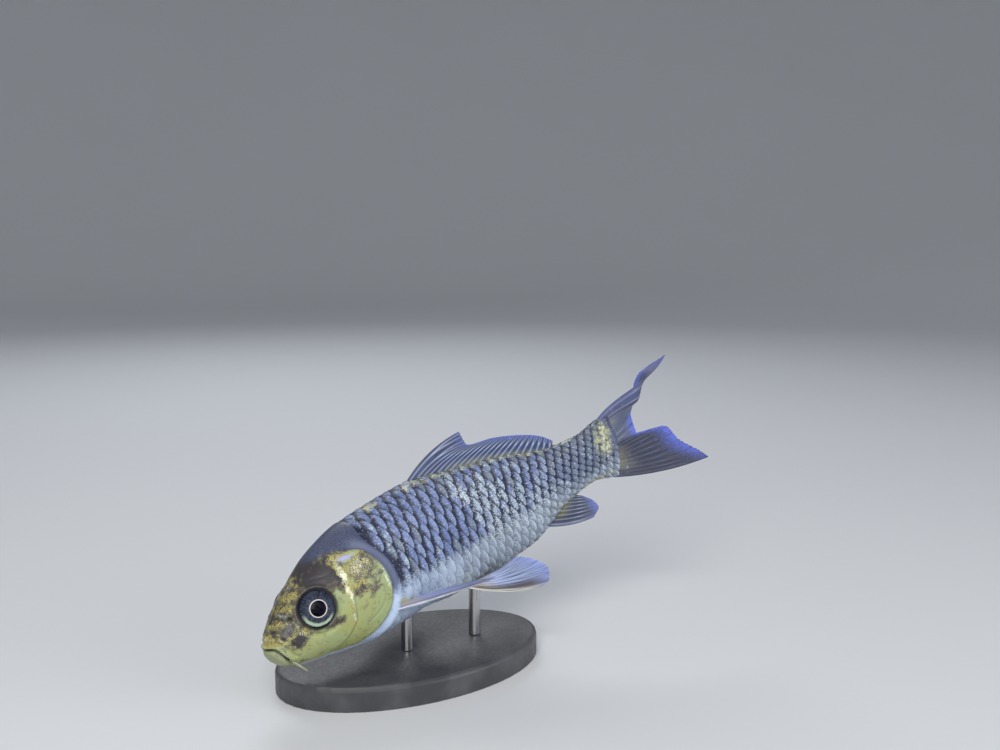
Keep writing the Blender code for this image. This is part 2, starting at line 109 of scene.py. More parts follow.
def spineAxes(x):
    u = np.maximum(0, (np.minimum(x, 1.0) - fish["bendStart"]) / (1 - fish["bendStart"]))
    left = sum(math.radians(b) * u ** (power + 1) for power, b in enumerate(fish["bendLeft"]))
    up = math.radians(fish["bendUp"]) * u
    along = np.stack([np.cos(left) * np.cos(up), -np.sin(left) * np.cos(up), np.sin(up)], -1)
    right = np.stack([np.sin(left), np.cos(left), 0 * left], -1)
    return along, right, np.cross(along, right)


spineStep = 0.01
spineSteps = spineAxes((np.arange(140) + 0.5) * spineStep)[0] * spineStep
spinePlaces = np.vstack([[0, 0, 0], np.cumsum(spineSteps, axis=0)])


def onFish(points):
    # places on the level fish, bent along its spine and posed, in metres
    x, y, z = np.moveaxis(np.asarray(points, float), -1, 0)
    i = np.clip((x / spineStep).astype(int), 0, len(spineSteps) - 1)
    spine = spinePlaces[i] + spineSteps[i] * (x / spineStep - i)[..., None]
    _, right, up = spineAxes(x)
    body = spine + right * y[..., None] + up * z[..., None]
    return (body @ poseTurn.T + np.array(fish["snout"])) * fish["length"]


def bodyPlace(x, turn):
    # turn runs from the back (0) down the left side and up the right side
    share = np.clip((x - fish["snoutStart"]) / fish["snoutRounding"], 0, 1)
    scale = np.sqrt(np.maximum(0, 1 - (1 - share) ** 2))
    level = bodyLevel(x)
    height = np.where(np.cos(turn) > 0, bodyTop(x) - level, bodyBottom(x) + level)
    return -bodyWidth(x) * scale * np.sin(turn), level + height * scale * np.cos(turn)


# Lines as seen on the left side, from the front or top on. Positive distance is above a line that runs back,
# and behind a line that runs down.
sideLines = {
    "mouth": (
        (0.006, -0.010), (0.016, -0.0112), (0.0205, -0.0128), (0.024, -0.019), (0.028, -0.028), (0.034, -0.040),
        (0.0415, -0.0515), (0.048, -0.059),
    ),
    "gillEdge": (
        (0.226, 0.097), (0.252, 0.101), (0.276, 0.090), (0.293, 0.065), (0.305, 0.034), (0.308, 0.004),
        (0.302, -0.024), (0.291, -0.050), (0.270, -0.072), (0.240, -0.090), (0.200, -0.099), (0.150, -0.093),
    ),
    "cheekEdge": (
        (0.190, 0.082), (0.203, 0.055), (0.207, 0.020), (0.201, -0.015), (0.190, -0.045), (0.160, -0.072),
        (0.120, -0.080),
    ),
    "gillFold": ((0.216, 0.030), (0.214, -0.004), (0.218, -0.040), (0.238, -0.080)),
    "lowerGill": ((0.222, -0.060), (0.250, -0.052), (0.276, -0.034), (0.292, -0.004)),
    "shoulder": (
        (0.272, 0.106), (0.296, 0.086), (0.314, 0.050), (0.322, 0.018), (0.320, -0.016), (0.313, -0.050),
        (0.296, -0.084), (0.262, -0.108), (0.210, -0.116),
    ),
    "browCanal": ((0.085, 0.058), (0.115, 0.078), (0.150, 0.083), (0.185, 0.078), (0.220, 0.086)),
    "cheekCanal": ((0.088, 0.010), (0.105, -0.020), (0.140, -0.030), (0.172, -0.018), (0.185, 0.020)),
    "snoutFold": ((0.030, 0.012), (0.044, -0.004), (0.058, -0.024), (0.068, -0.046)),
    "scaleEdge": (
        (0.300, 0.220), (0.300, 0.150), (0.292, 0.118), (0.300, 0.092), (0.318, 0.058), (0.328, 0.020),
        (0.329, -0.020), (0.326, -0.052), (0.314, -0.080), (0.292, -0.102), (0.262, -0.118), (0.240, -0.150),
    ),
    "tailEdge": ((1.000, 0.120), (1.004, 0.080), (1.014, 0.020), (1.012, -0.020), (0.992, -0.060), (0.984, -0.110)),
}


def nearLine(x, z, name):
    # signed distance to a line on the side of the fish, and the share of the way along it
    points = [np.array(p, float) for p in sideLines[name]]
    ends = [2 * points[0] - points[1]] + points + [2 * points[-1] - points[-2]]
    path = []
    for a, b, c, d in zip(ends, ends[1:], ends[2:], ends[3:]):
        for t in np.arange(0, 1, 0.2):
            path.append(0.5 * (
                2 * b + (c - a) * t + (2 * a - 5 * b + 4 * c - d) * t * t + (3 * b - a - 3 * c + d) * t ** 3
            ))
    path.append(points[-1])
    nearest, share, side = np.full(x.shape, 9.0), np.zeros(x.shape), np.ones(x.shape)
    for i in range(len(path) - 1):
        a, step = path[i], path[i + 1] - path[i]
        t = np.clip(((x - a[0]) * step[0] + (z - a[1]) * step[1]) / (step @ step), 0, 1)
        gap = np.hypot(x - a[0] - t * step[0], z - a[1] - t * step[1])
        closer = gap < nearest
        nearest = np.where(closer, gap, nearest)
        share = np.where(closer, (i + t) / (len(path) - 1), share)
        side = np.where(closer, np.sign(step[0] * (z - a[1]) - step[1] * (x - a[0]) + 1e-12), side)
    return nearest * side, share


def scaledPart(x, z):
    # both are positive inside the scaled part of the body
    return nearLine(x, z, "scaleEdge")[0], -nearLine(x, z, "tailEdge")[0]


eyeShape = {"centre": (0.1303, 0.0582, 0.0252), "axis": (-0.309, 0.914, 0.262), "radius": 0.041, "halfDepth": 0.026}
eyeAxis = unit(np.array(eyeShape["axis"]))
# Heights and depths of the bare skin's relief, as fractions of the length.
headShape = {
    "mouthGap": (-0.0105, 0.0020),  # height, width
    "lips": (  # height, distance above the mouth line, width
        (0.0026, 0.0065, 0.0042), (0.0016, -0.0065, 0.0040), (-0.0030, 0.0140, 0.0026), (-0.0026, -0.0135, 0.0028),
    ),
    "snoutFolds": ((-0.0018, 0, 0.0030), (0.0010, 0.006, 0.005)),
    # a drop behind each edge that runs out after its reach, a low rim before it, and its fading ends
    "edges": {
        "gillEdge": {"depth": 0.0100, "width": 0.0040, "reach": 0.015, "rim": 0.0012, "rimPlace": 0.006},
        "cheekEdge": {"depth": 0.0042, "width": 0.0045, "reach": 0.016, "rim": 0.0010, "rimPlace": 0.005},
    },
    # shares of the edge where it is whole and where it starts to fade, and how much is lost at its end
    "edgeEnds": {"gillEdge": (0.10, 0.72, 0.75), "cheekEdge": (0.12, 0.70, 0.60)},
    "rimWidth": 0.006,
    "ridges": (  # line, height, width, share of the line that fades at each end
        ("gillFold", -0.0016, 0.0030, 0.15), ("lowerGill", -0.0013, 0.0028, 0.15), ("browCanal", -0.0005, 0.0034, 0.15),
        ("cheekCanal", -0.0012, 0.0030, 0.15), ("shoulder", 0.0020, 0.010, 0.20),
    ),
    "nostrils": ((0.0640, 0.0440, 0.0060, 0.0042), (0.0715, 0.0345, 0.0085, 0.0050)),  # place, depth, width
    # the eye's socket: height, distance from the eye's axis, width
    "socket": ((-0.0030, 0.0410, 0.0026), (0.0020, 0.0465, 0.0036)),
}


def eyeDistance(x, y, z):
    offset = np.stack([x, np.abs(y), z], -1) - np.array(eyeShape["centre"])
    along = offset @ eyeAxis
    return np.linalg.norm(offset - along[..., None] * eyeAxis, axis=-1), along


def headRelief(x, y, z):
    # how far the bare skin stands out from the plain body
    lip, share = nearLine(x, z, "mouth")
    height, width = headShape["mouthGap"]
    out = height * bump(lip, width) * (1 - 0.75 * smooth(share, 0.93, 1.0))
    for height, offset, width in headShape["lips"]:
        out += height * bump(lip - offset, width) * (1 - smooth(share, 0.88, 1.0))
    fold, share = nearLine(x, z, "snoutFold")
    for height, offset, width in headShape["snoutFolds"]:
        out += height * bump(fold - offset, width) * bump(share - 0.5, 0.55)
    side = smooth(np.abs(y), 0.018, 0.034)  # lines fade out over the back and the throat
    for name, form in headShape["edges"].items():
        edge, share = nearLine(x, z, name)
        start, end, lost = headShape["edgeEnds"][name]
        relief = form["rim"] * bump(edge + form["rimPlace"], headShape["rimWidth"])
        relief -= form["depth"] * smooth(edge, 0.0, form["width"]) * np.exp(-np.maximum(edge, 0) / form["reach"])
        out += relief * smooth(share, 0.0, start) * (1 - lost * smooth(share, end, 1.0)) * side
    for name, height, width, fade in headShape["ridges"]:
        line, share = nearLine(x, z, name)
        out += height * bump(line, width) * smooth(share, 0, fade) * (1 - smooth(share, 1 - fade, 1)) * side
    # nostrils: two pits with a flap of skin between them
    for px, pz, depth, width in headShape["nostrils"]:
        out -= depth * bump(np.hypot(x - px, z - pz), width) * side
    out += 0.0042 * bump(np.hypot((x - 0.0672) * 0.9, (z - 0.0400) * 0.9), 0.0035) * side
    # the socket: a sunk floor hidden under the eye, a groove round it and a soft rim
    away, along = eyeDistance(x, y, z)
    near = smooth(along, -0.02, 0.0)
    out -= 0.022 * (1 - smooth(away, 0.030, 0.0400)) * near
    for height, place, width in headShape["socket"]:
        out += height * bump(away - place, width) * near
    out -= 0.0016 * bump(away - 0.0560, 0.0050) * near * smooth(-z, -0.045, -0.01)
    # soft swell of the cheek under the eye
    swell = bump(np.hypot((x - 0.13) * 0.7, z + 0.045), 0.045)
    cheek = smooth(x, 0.05, 0.09) * (1 - smooth(x, 0.17, 0.2)) * side * smooth(-z, -0.02, 0.02)
    return out - 0.0010 * (1 - swell) * cheek


# Spots on the side of the fish: place along, height, half length, half height, strength.
markings = {
    "gold": (
        (0.016, 0.006, 0.026, 0.024, 0.68), (0.045, 0.032, 0.020, 0.012, 0.62), (0.074, 0.050, 0.022, 0.010, 0.62),
        (0.100, 0.068, 0.020, 0.010, 0.66), (0.132, 0.088, 0.022, 0.010, 0.74), (0.222, 0.101, 0.034, 0.009, 0.72),
        (0.207, 0.070, 0.013, 0.032, 1.00), (0.204, 0.030, 0.012, 0.028, 0.84), (0.250, 0.066, 0.044, 0.034, 0.60),
        (0.240, 0.030, 0.030, 0.030, 0.50), (0.500, -0.104, 0.050, 0.018, 0.50), (0.346, -0.070, 0.022, 0.010, 0.60),
        (0.330, 0.140, 0.020, 0.010, 0.5), (0.372, 0.152, 0.030, 0.010, 0.7), (0.325, -0.060, 0.014, 0.009, 0.9),
        (0.850, -0.070, 0.040, 0.016, 0.62), (0.930, -0.056, 0.060, 0.010, 0.72), (0.994, 0.034, 0.036, 0.050, 0.80),
        (0.080, 0.000, 0.030, 0.016, 0.44), (0.190, -0.020, 0.014, 0.050, 0.40), (0.050, -0.010, 0.030, 0.020, 0.40),
    ),
    "dark": (
        (0.168, 0.082, 0.048, 0.034, 1.10), (0.194, 0.058, 0.014, 0.026, 0.74), (0.095, 0.055, 0.080, 0.056, 0.54),
        (0.080, 0.018, 0.044, 0.034, 0.52), (0.255, 0.058, 0.046, 0.040, 0.40), (0.215, 0.108, 0.044, 0.012, 0.62),
        (0.066, -0.014, 0.022, 0.016, 0.92), (0.234, 0.022, 0.022, 0.018, 0.60), (0.258, 0.048, 0.022, 0.026, 0.54),
        (0.100, 0.082, 0.040, 0.020, 0.66), (0.060, 0.046, 0.036, 0.026, 0.70), (0.092, 0.044, 0.022, 0.022, 0.52),
        (0.050, 0.014, 0.026, 0.022, 0.72), (0.150, -0.017, 0.024, 0.009, 0.66), (0.036, 0.004, 0.020, 0.010, 0.50),
        (0.150, 0.112, 0.050, 0.016, 1.0), (0.090, 0.004, 0.016, 0.016, 0.54), (0.275, 0.080, 0.018, 0.014, 0.48),
        (0.262, 0.012, 0.026, 0.020, 0.38),
    ),
    "frost": (
        (0.202, 0.012, 0.010, 0.034, 0.66), (0.194, -0.030, 0.006, 0.020, 0.70), (0.299, 0.014, 0.006, 0.044, 0.74),
        (0.250, 0.062, 0.040, 0.032, 0.60), (0.112, 0.082, 0.012, 0.008, 0.6), (0.068, 0.044, 0.014, 0.010, 0.5),
        (0.078, -0.004, 0.014, 0.009, 0.58), (0.345, 0.118, 0.018, 0.040, 0.52), (0.392, 0.066, 0.020, 0.070, 0.50),
        (0.590, 0.085, 0.026, 0.046, 0.74), (0.640, 0.000, 0.060, 0.070, 0.62), (0.990, 0.000, 0.024, 0.036, 0.66),
        (0.450, -0.098, 0.012, 0.007, 0.6), (0.206, 0.056, 0.012, 0.030, 0.66),
    ),
    "silver": (
        (0.350, 0.070, 0.030, 0.050, 0.60), (0.375, 0.010, 0.030, 0.050, 0.50), (0.575, 0.105, 0.028, 0.034, 0.70),
        (0.625, 0.060, 0.046, 0.050, 0.60), (0.690, 0.010, 0.060, 0.050, 0.40), (0.470, -0.050, 0.050, 0.030, 0.40),
        (0.800, -0.010, 0.050, 0.040, 0.30),
    ),
}
violetStreak = {"x": 0.234, "z": 0.092, "halfLength": 0.015, "halfHeight": 0.0042, "fall": 0.10}
napeLine = curveThrough(((0.10, 0.112), (0.16, 0.108), (0.21, 0.112), (0.27, 0.094), (0.32, 0.088)))
bellyLine = curveThrough((
    (0.0, -0.60), (0.2, -0.60), (0.31, -0.20), (0.40, -0.24), (0.50, -0.38), (0.60, -0.46), (0.75, -0.50),
    (0.86, -0.74), (1.0, -0.98),
))


def markedSpots(name, x, z):
    total = np.zeros(x.shape)
    for px, pz, halfLength, halfHeight, strength in markings[name]:
        away = ((x - px) / halfLength) ** 2 + ((z - pz) / halfHeight) ** 2
        total = np.maximum(total, strength * np.exp(-away ** 1.6))
    return total


def markingValues(places):
    # what each marking's strength is at these places on the level fish
    x, y, z = places.T
    up = np.where(z > 0, z / bodyTop(x), z / bodyBottom(x))
    gillEdge = nearLine(x, z, "gillEdge")[0]
    behindGill = smooth(gillEdge, -0.001, 0.004)
    flank = np.maximum(smooth(scaledPart(x, z)[0], -0.030, -0.010), behindGill * smooth(x, 0.235, 0.250))
    nape = smooth(z - napeLine(x), -0.004, 0.008) * smooth(x, 0.15, 0.19)
    back = smooth(up, bellyLine(x) - 0.26, bellyLine(x) + 0.26)
    membrane = behindGill * smooth(-z, 0.000, 0.060)
    throat = smooth(-up, 0.86, 0.96) * smooth(x, 0.05, 0.09)
    shoulder = bump(nearLine(x, z, "shoulder")[0], 0.011) * smooth(gillEdge, 0.0, 0.006)
    lip = nearLine(x, z, "mouth")[0]
    lipSkin = (1 - smooth(np.abs(lip + 0.006), 0.003, 0.008)) * (1 - smooth(x, 0.040, 0.060))
    nostrilFlap = bump(np.hypot(x - 0.0672, z - 0.0405), 0.0036)
    # painted highlight: a band along the top of the back, at the dorsal fin's base, laid on as pale gold and frost
    # white colour
    ridgeHighlight = smooth(up, 0.85, 0.97) * smooth(x, 0.42, 0.48) * (1 - smooth(x, 0.90, 0.97))
    silver = 0.14 + 0.30 * smooth(x, 0.50, 0.64) - 0.34 * smooth(x, 0.76, 0.90)
    silver += 0.30 * smooth(-up, -0.25, 0.35) + markedSpots("silver", x, z)
    # dark rings and lines round the eye, in the rear nostril and between the lips
    away, along = eyeDistance(x, y, z)
    eyeRing = bump(away - 0.0415, 0.0045) * smooth(along, -0.02, 0)
    nostril = 0.9 * bump(np.hypot(x - 0.0715, z - 0.0345), 0.0046) * (np.abs(y) > 0.01)
    mouthGap = 0.9 * bump(lip, 0.0022) * (1 - smooth(x, 0.055, 0.066))
    behind = x - violetStreak["x"]
    above = z - violetStreak["z"] + violetStreak["fall"] * behind
    violet = bump(np.hypot(behind / violetStreak["halfLength"], above / violetStreak["halfHeight"]), 1.0)
    return {
        "gold": np.maximum(markedSpots("gold", x, z), 0.64 * ridgeHighlight),
        "dark": markedSpots("dark", x, z),
        "frost": np.maximum(markedSpots("frost", x, z), 0.70 * ridgeHighlight),
        "pale": np.maximum(np.maximum(membrane, throat), flank * (1 - back)),
        "lip": np.maximum(0.36 * lipSkin, 0.7 * nostrilFlap),
        "flank": np.maximum(flank, nape),
        "shadow": np.maximum(np.maximum(eyeRing, nostril), mouthGap),
        "upper": smooth(up, 0.30, 0.95),
        "shoulder": shoulder,
        "silver": silver,
        "violet": violet,
    }


def storeValues(mesh, values):
    for name, data in values.items():
        kind, field = ("FLOAT_VECTOR", "vector") if data.ndim == 2 else ("FLOAT", "value")
        attribute = mesh.attributes.new(name, kind, "POINT")
        attribute.data.foreach_set(field, np.ascontiguousarray(data, np.float32).ravel())


def readVectors(items, field):
    values = np.empty(len(items) * 3, np.float32)
    items.foreach_get(field, values)
    return values.reshape(-1, 3).astype(float)


def addObject(name, data):
    thing = bpy.data.objects.new(name, data)
    bpy.context.scene.collection.objects.link(thing)
    return thing


def meshPiece(name, points, faces, material, values=None):
    mesh = bpy.data.meshes.new(name)
    mesh.from_pydata(np.asarray(points, float).reshape(-1, 3).tolist(), [], [tuple(int(i) for i in f) for f in faces])
    mesh.polygons.foreach_set("use_smooth", [True] * len(mesh.polygons))
    storeValues(mesh, values or {})
    mesh.materials.append(material)
    mesh.update()
    return addObject(name, mesh)


def gridFaces(rows, columns, start=0, closed=False, turned=False):
    r, c = np.meshgrid(np.arange(rows - 1), np.arange(columns if closed else columns - 1), indexing="ij")
    r, c = r.ravel() * columns, c.ravel()
    following = (c + 1) % columns
    faces = np.stack([r + c, r + following, r + columns + following, r + columns + c], -1) + start
    return (faces[:, ::-1] if turned else faces).tolist()


def tubeFaces(rows, around):
    # a closed tube; the middle points of its two ends come after the others
    faces = gridFaces(rows, around, closed=True)
    last = (rows - 1) * around
    for i in range(around):
        j = (i + 1) % around
        faces += [(rows * around, j, i), (rows * around + 1, last + i, last + j)]
    return faces


def gridNormals(grid):
    return unit(np.cross(np.gradient(grid, axis=1), np.gradient(grid, axis=0)))


def faceOutwards(piece):
    # turns the faces round if the closed shape encloses a negative volume
    mesh = piece.data
    mesh.calc_loop_triangles()
    corners = np.empty(len(mesh.loop_triangles) * 3, np.int32)
    mesh.loop_triangles.foreach_get("vertices", corners)
    triangles = readVectors(mesh.vertices, "co")[corners.reshape(-1, 3)]
    if np.linalg.det(triangles - triangles.mean((0, 1))).sum() < 0:
        mesh.flip_normals()
    return piece


class Wire:
    # a node's output, which can be added, subtracted and multiplied
    def __init__(self, socket):
        self.socket = socket
        self.tree = socket.id_data

    def __add__(self, other):
        return mathNode("ADD", self, other)

    def __sub__(self, other):
        return mathNode("SUBTRACT", self, other)

    def __rsub__(self, other):
        return mathNode("SUBTRACT", other, self)

    def __mul__(self, other):
        return mathNode("MULTIPLY", self, other)


def setInput(socket, value):
    if isinstance(value, Wire):
        value.tree.links.new(value.socket, socket)
    else:
        socket.default_value = value


def addNode(tree, kind, inputs=(), output=0, **settings):
    node = tree.nodes.new(kind)
    for name, value in settings.items():
        setattr(node, name, value)
    for key, value in dict(inputs).items():
        setInput(node.inputs[key], value)
    return Wire(node.outputs[output])


def wires(node):
    return {socket.name: Wire(socket) for socket in node.outputs}


def mathNode(operation, a, b=0.0):
    tree = (a if isinstance(a, Wire) else b).tree
    return addNode(tree, "ShaderNodeMath", {0: a, 1: b}, operation=operation)


def clamped(wire):
    wire.socket.node.use_clamp = True
    return wire


def vectorMath(operation, *values):
    inputs = {0: values[0], "Scale": values[1]} if operation == "SCALE" else dict(enumerate(values))
    return addNode(values[0].tree, "ShaderNodeVectorMath", inputs, operation=operation)


def split(vector):
    return list(wires(addNode(vector.tree, "ShaderNodeSeparateXYZ", {0: vector}).socket.node).values())


def join(*numbers):
    return addNode(numbers[0].tree, "ShaderNodeCombineXYZ", dict(enumerate(numbers)))


def ramp(value, low, high, start=0.0, end=1.0):
    inputs = {"Value": value, "From Min": low, "From Max": high, "To Min": start, "To Max": end}
    return addNode(value.tree, "ShaderNodeMapRange", inputs, "Result", interpolation_type="SMOOTHSTEP")


def mixColour(factor, a, b):
    return addNode(factor.tree, "ShaderNodeMix", {0: factor, 6: a, 7: b}, 2, data_type="RGBA")


def layers(colour, colours, *steps):
    # each step lays one of the colours over what is there, as strongly as its factor
    for factor, name in steps:
        colour = mixColour(factor, colour, colours[name])
    return colour


def readValue(tree, name):
    return addNode(tree, "ShaderNodeAttribute", output="Fac", attribute_name=name)


def readVector(tree, name):
    return addNode(tree, "ShaderNodeAttribute", output="Vector", attribute_name=name)


def noise(vector, scale, detail=3.0, roughness=0.55):
    inputs = {"Vector": vector, "Scale": scale, "Detail": detail, "Roughness": roughness}
    return addNode(vector.tree, "ShaderNodeTexNoise", inputs, "Fac")


def newMaterial(name):
    material = bpy.data.materials.new(name)
    material.use_nodes = True
    return material, material.node_tree, material.node_tree.nodes["Principled BSDF"]


def dress(shader, inputs, height=None, strength=0.0, distance=0.0):
    # sets the shader's inputs, and its normal from a pattern of heights
    if height:
        relief = {"Strength": strength, "Distance": distance, "Height": height}
        inputs["Normal"] = addNode(height.tree, "ShaderNodeBump", relief)
    for name, value in inputs.items():
        setInput(shader.inputs[name], value)


def newTree(name, treeKind, inputs, outputs):
    # inputs hold a name, a kind of socket and perhaps a value, outputs a name and a kind
    tree = bpy.data.node_groups.new(name, treeKind)
    for direction, sockets in (("INPUT", inputs), ("OUTPUT", outputs)):
        for socketName, kind, *value in sockets:
            socket = tree.interface.new_socket(socketName, in_out=direction, socket_type="NodeSocket" + kind)
            if value:
                socket.default_value = value[0]
    given = wires(tree.nodes.new("NodeGroupInput"))
    return tree, given, tree.nodes.new("NodeGroupOutput").inputs


def useGroup(tree, group, inputs=()):
    return wires(addNode(tree, "ShaderNodeGroup", inputs, node_tree=group).socket.node)


skinColours = {
    "olive": (0.270, 0.290, 0.115, 1),
    "green": (0.262, 0.312, 0.150, 1),
    "gold": (0.385, 0.340, 0.100, 1),
    "cream": (0.620, 0.620, 0.420, 1),
    "straw": (0.300, 0.300, 0.125, 1),
    "dark": (0.036, 0.033, 0.036, 1),
    "brown": (0.100, 0.088, 0.062, 1),
    "napeGrey": (0.040, 0.044, 0.068, 1),
    "flank": (0.100, 0.129, 0.245, 1),
    "pale": (0.410, 0.505, 0.660, 1),
    "stain": (0.155, 0.185, 0.225, 1),
    "violet": (0.330, 0.330, 0.620, 1),
    "lip": (0.190, 0.205, 0.170, 1),
    "frost": (0.700, 0.760, 0.740, 1),
    "band": (0.095, 0.112, 0.185, 1),
    "shadow": (0.016, 0.014, 0.016, 1),
}


def markingsGroup():
    inputs = [("Mottle Scale", "Float", 64.0), ("Mottle Break", "Float", 2.7)]
    inputs += [(name, "Color", value) for name, value in skinColours.items()]
    outputs = [("Color", "Color"), ("Grain", "Float"), ("Pale", "Float")]
    group, given, end = newTree("koiMarkings", "ShaderNodeTree", inputs, outputs)
    spot = readVector(group, "fishSpot")
    coarse = noise(spot, given["Mottle Scale"], 6.0, 0.72)
    shifted = vectorMath("ADD", spot, (3.1, 7.7, 1.9))
    second = noise(shifted, given["Mottle Scale"], 7.0, 0.76)
    fine = noise(spot, 240.0, 5.0, 0.7)

    def broken(name, pattern, low, high):
        # a marking with a ragged edge
        return ramp(readValue(group, name) + (pattern - 0.5) * given["Mottle Break"], low, high)

    greenish = ramp(noise(spot, 9.0, 2.0), 0.40, 0.62)
    gold = broken("gold", coarse, 0.34, 0.70)
    flecks = ramp(noise(shifted, 330.0, 3.0, 0.6), 0.54, 0.62)
    head = layers(
        mixColour(greenish, given["olive"], given["green"]), given,
        (broken("dark", second, 0.05, 0.50), "brown"),
        (gold, "gold"),
        (ramp(fine, 0.42, 0.60, 0.5, 0.0) * gold, "brown"),
        (broken("gold", second, 0.62, 1.00), "cream"),
        (broken("dark", second, 0.50, 0.80), "dark"),
        (flecks * broken("dark", coarse, 0.00, 0.60), "dark"),
    )
    back = layers(
        mixColour(ramp(fine, 0.35, 0.68), given["napeGrey"], given["flank"]), given,
        (readValue(group, "upper") * 0.5, "napeGrey"),
        (readValue(group, "shoulder"), "band"),
        (broken("gold", second, 0.42, 0.74), "straw"),
        (broken("gold", second, 0.66, 1.00), "cream"),
    )
    paleHere = readValue(group, "pale")
    paleBreak = (noise(spot, 44.0, 5.0, 0.7) - 0.5) * ramp(paleHere, 0.0, 0.2, 0.0, 1.7)
    pale = ramp(paleHere + paleBreak, 0.02, 0.98)
    rear = ramp(split(spot)[0], 0.34, 0.62)
    stain = clamped(rear * 0.80 + ramp(noise(shifted, 17.0, 4.0, 0.65), 0.48, 0.68, 0.0, 0.45))
    belly = layers(
        mixColour(stain, given["pale"], given["stain"]), given,
        (ramp(fine, 0.34, 0.42, 0.55, 0.0), "flank"),
    )
    frost = ramp(readValue(group, "frost") + (fine - 0.5) * 2.2, 0.58, 0.98)
    result = layers(
        mixColour(pale, mixColour(readValue(group, "flank"), head, back), belly), given,
        (broken("gold", coarse, 0.30, 0.80) * (pale * 0.6), "gold"),
        (readValue(group, "lip"), "lip"),
        (frost * 0.8, "frost"),
        (readValue(group, "violet"), "violet"),
        (readValue(group, "shadow"), "shadow"),
    )
    for name, value in (("Color", result), ("Grain", fine), ("Pale", pale)):
        setInput(end[name], value)
    return group


def skinMaterial():
    material, tree, shader = newMaterial("koiSkin")
    marks = useGroup(tree, markingsTree)
    pores = noise(readVector(tree, "fishSpot"), 420.0, 2.0, 0.5)
    dress(shader, {
        "Base Color": marks["Color"], "Roughness": ramp(marks["Grain"], 0.3, 0.7, 0.30, 0.46),
        "Specular IOR Level": 0.20, "Coat Weight": 0.08, "Coat Roughness": 0.16,
    }, marks["Grain"] * 0.7 + pores * 0.3, 0.35, 0.0004)
    return material


scaleLook = {
    "low": (0.092, 0.132, 0.315, 1),  # the light part of a scale varies between low and high
    "high": (0.196, 0.258, 0.465, 1),
    "dull": (0.170, 0.200, 0.190, 1),
    "stalk": (0.120, 0.150, 0.155, 1),
    "silver": (0.280, 0.340, 0.400, 1),
    "strokeDark": (0.050, 0.066, 0.130, 1),
    "strokeLight": (0.330, 0.400, 0.550, 1),
    # near black of the scales' roots: partly their own dark base, partly painted shade under the scale in front
    "root": (0.010, 0.014, 0.036, 1),
    "net": (0.430, 0.500, 0.610, 1),  # rims of the belly's scales
    # pale specks on the scales are painted glints
    "speck": (0.520, 0.620, 0.640, 1),
    "rings": 70.0,  # growth rings, in radians across half a scale
}


def scaleMaterial():
    material, tree, shader = newMaterial("koiScales")
    marks = useGroup(tree, markingsTree)
    scaleSpot = readVector(tree, "scaleSpot")
    along, across, _ = split(scaleSpot)
    spot = readVector(tree, "fishSpot")
    tone = readValue(tree, "tone")
    pale = marks["Pale"]
    fine = noise(spot, 260.0, 3.0, 0.65)
    strokes = noise(join(along * 2.6, across * 8.0, tone * 41.0), 1.0, 4.0, 0.62)
    # each scale is dark where it comes out from under the one in front, and light at its rear edge; the dark root is
    # partly the koi's own dark scale base and partly painted shade under the scale in front
    wobble = (noise(spot, 60.0, 3.0) - 0.5) * 0.55
    side = mathNode("POWER", mathNode("ABSOLUTE", across), 1.5)
    lean = across * 0.10 - side * 0.40
    root = along + wobble + lean + (strokes - 0.5) * 0.42
    rootPigmentAndShade = ramp(root, 0.26, 0.50, 1.0, 0.0)
    edge = ramp(root, 0.42, 0.66)
    scatter = (noise(spot, 46.0, 5.0, 0.72) - 0.5) * 2.6 + (tone - 0.5) * 0.5
    patches = ramp(readValue(tree, "silver") + scatter, 0.40, 0.95)
    strength = clamped(1.0 - pale * 0.84) * clamped(1.0 - readValue(tree, "gold") * 0.55)
    light = layers(
        mixColour(tone, scaleLook["low"], scaleLook["high"]), scaleLook,
        (ramp(tone, 0.10, 0.22, 0.7, 0.0), "dull"),
        (ramp(split(spot)[0], 0.72, 0.94, 0.0, 0.75), "stalk"),
        (patches * 0.80, "silver"),
        (ramp(strokes, 0.36, 0.54, 0.42, 0.0), "strokeDark"),
        (ramp(strokes, 0.54, 0.70, 0.0, 0.40), "strokeLight"),
    )
    rimmed = ramp(along - side * 0.10, 0.64, 0.90)
    # painted glints: pale specks, more at the scales' light rear edges and silver patches
    speck = ramp(fine + (edge * 0.05 + patches * 0.09), 0.62, 0.72)
    base = layers(
        mixColour(edge * strength * 0.80, marks["Color"], light), scaleLook,
        (rootPigmentAndShade * strength, "root"),
        (rimmed * (pale * 0.55), "net"),
        (speck * 0.60, "speck"),
    )
    radius = addNode(tree, "ShaderNodeVectorMath", {0: scaleSpot}, "Value", operation="LENGTH")
    rings = mathNode("SINE", radius * scaleLook["rings"])
    dress(shader, {
        "Base Color": base, "Roughness": ramp(fine, 0.3, 0.7, 0.28, 0.44),
        "Specular IOR Level": 0.22, "Coat Weight": 0.12, "Coat Roughness": 0.18,
    }, rings * 0.25 + fine, 0.4, 0.0003)
    return material


markingsTree = markingsGroup()
koiSkin = skinMaterial()
koiScales = scaleMaterial()

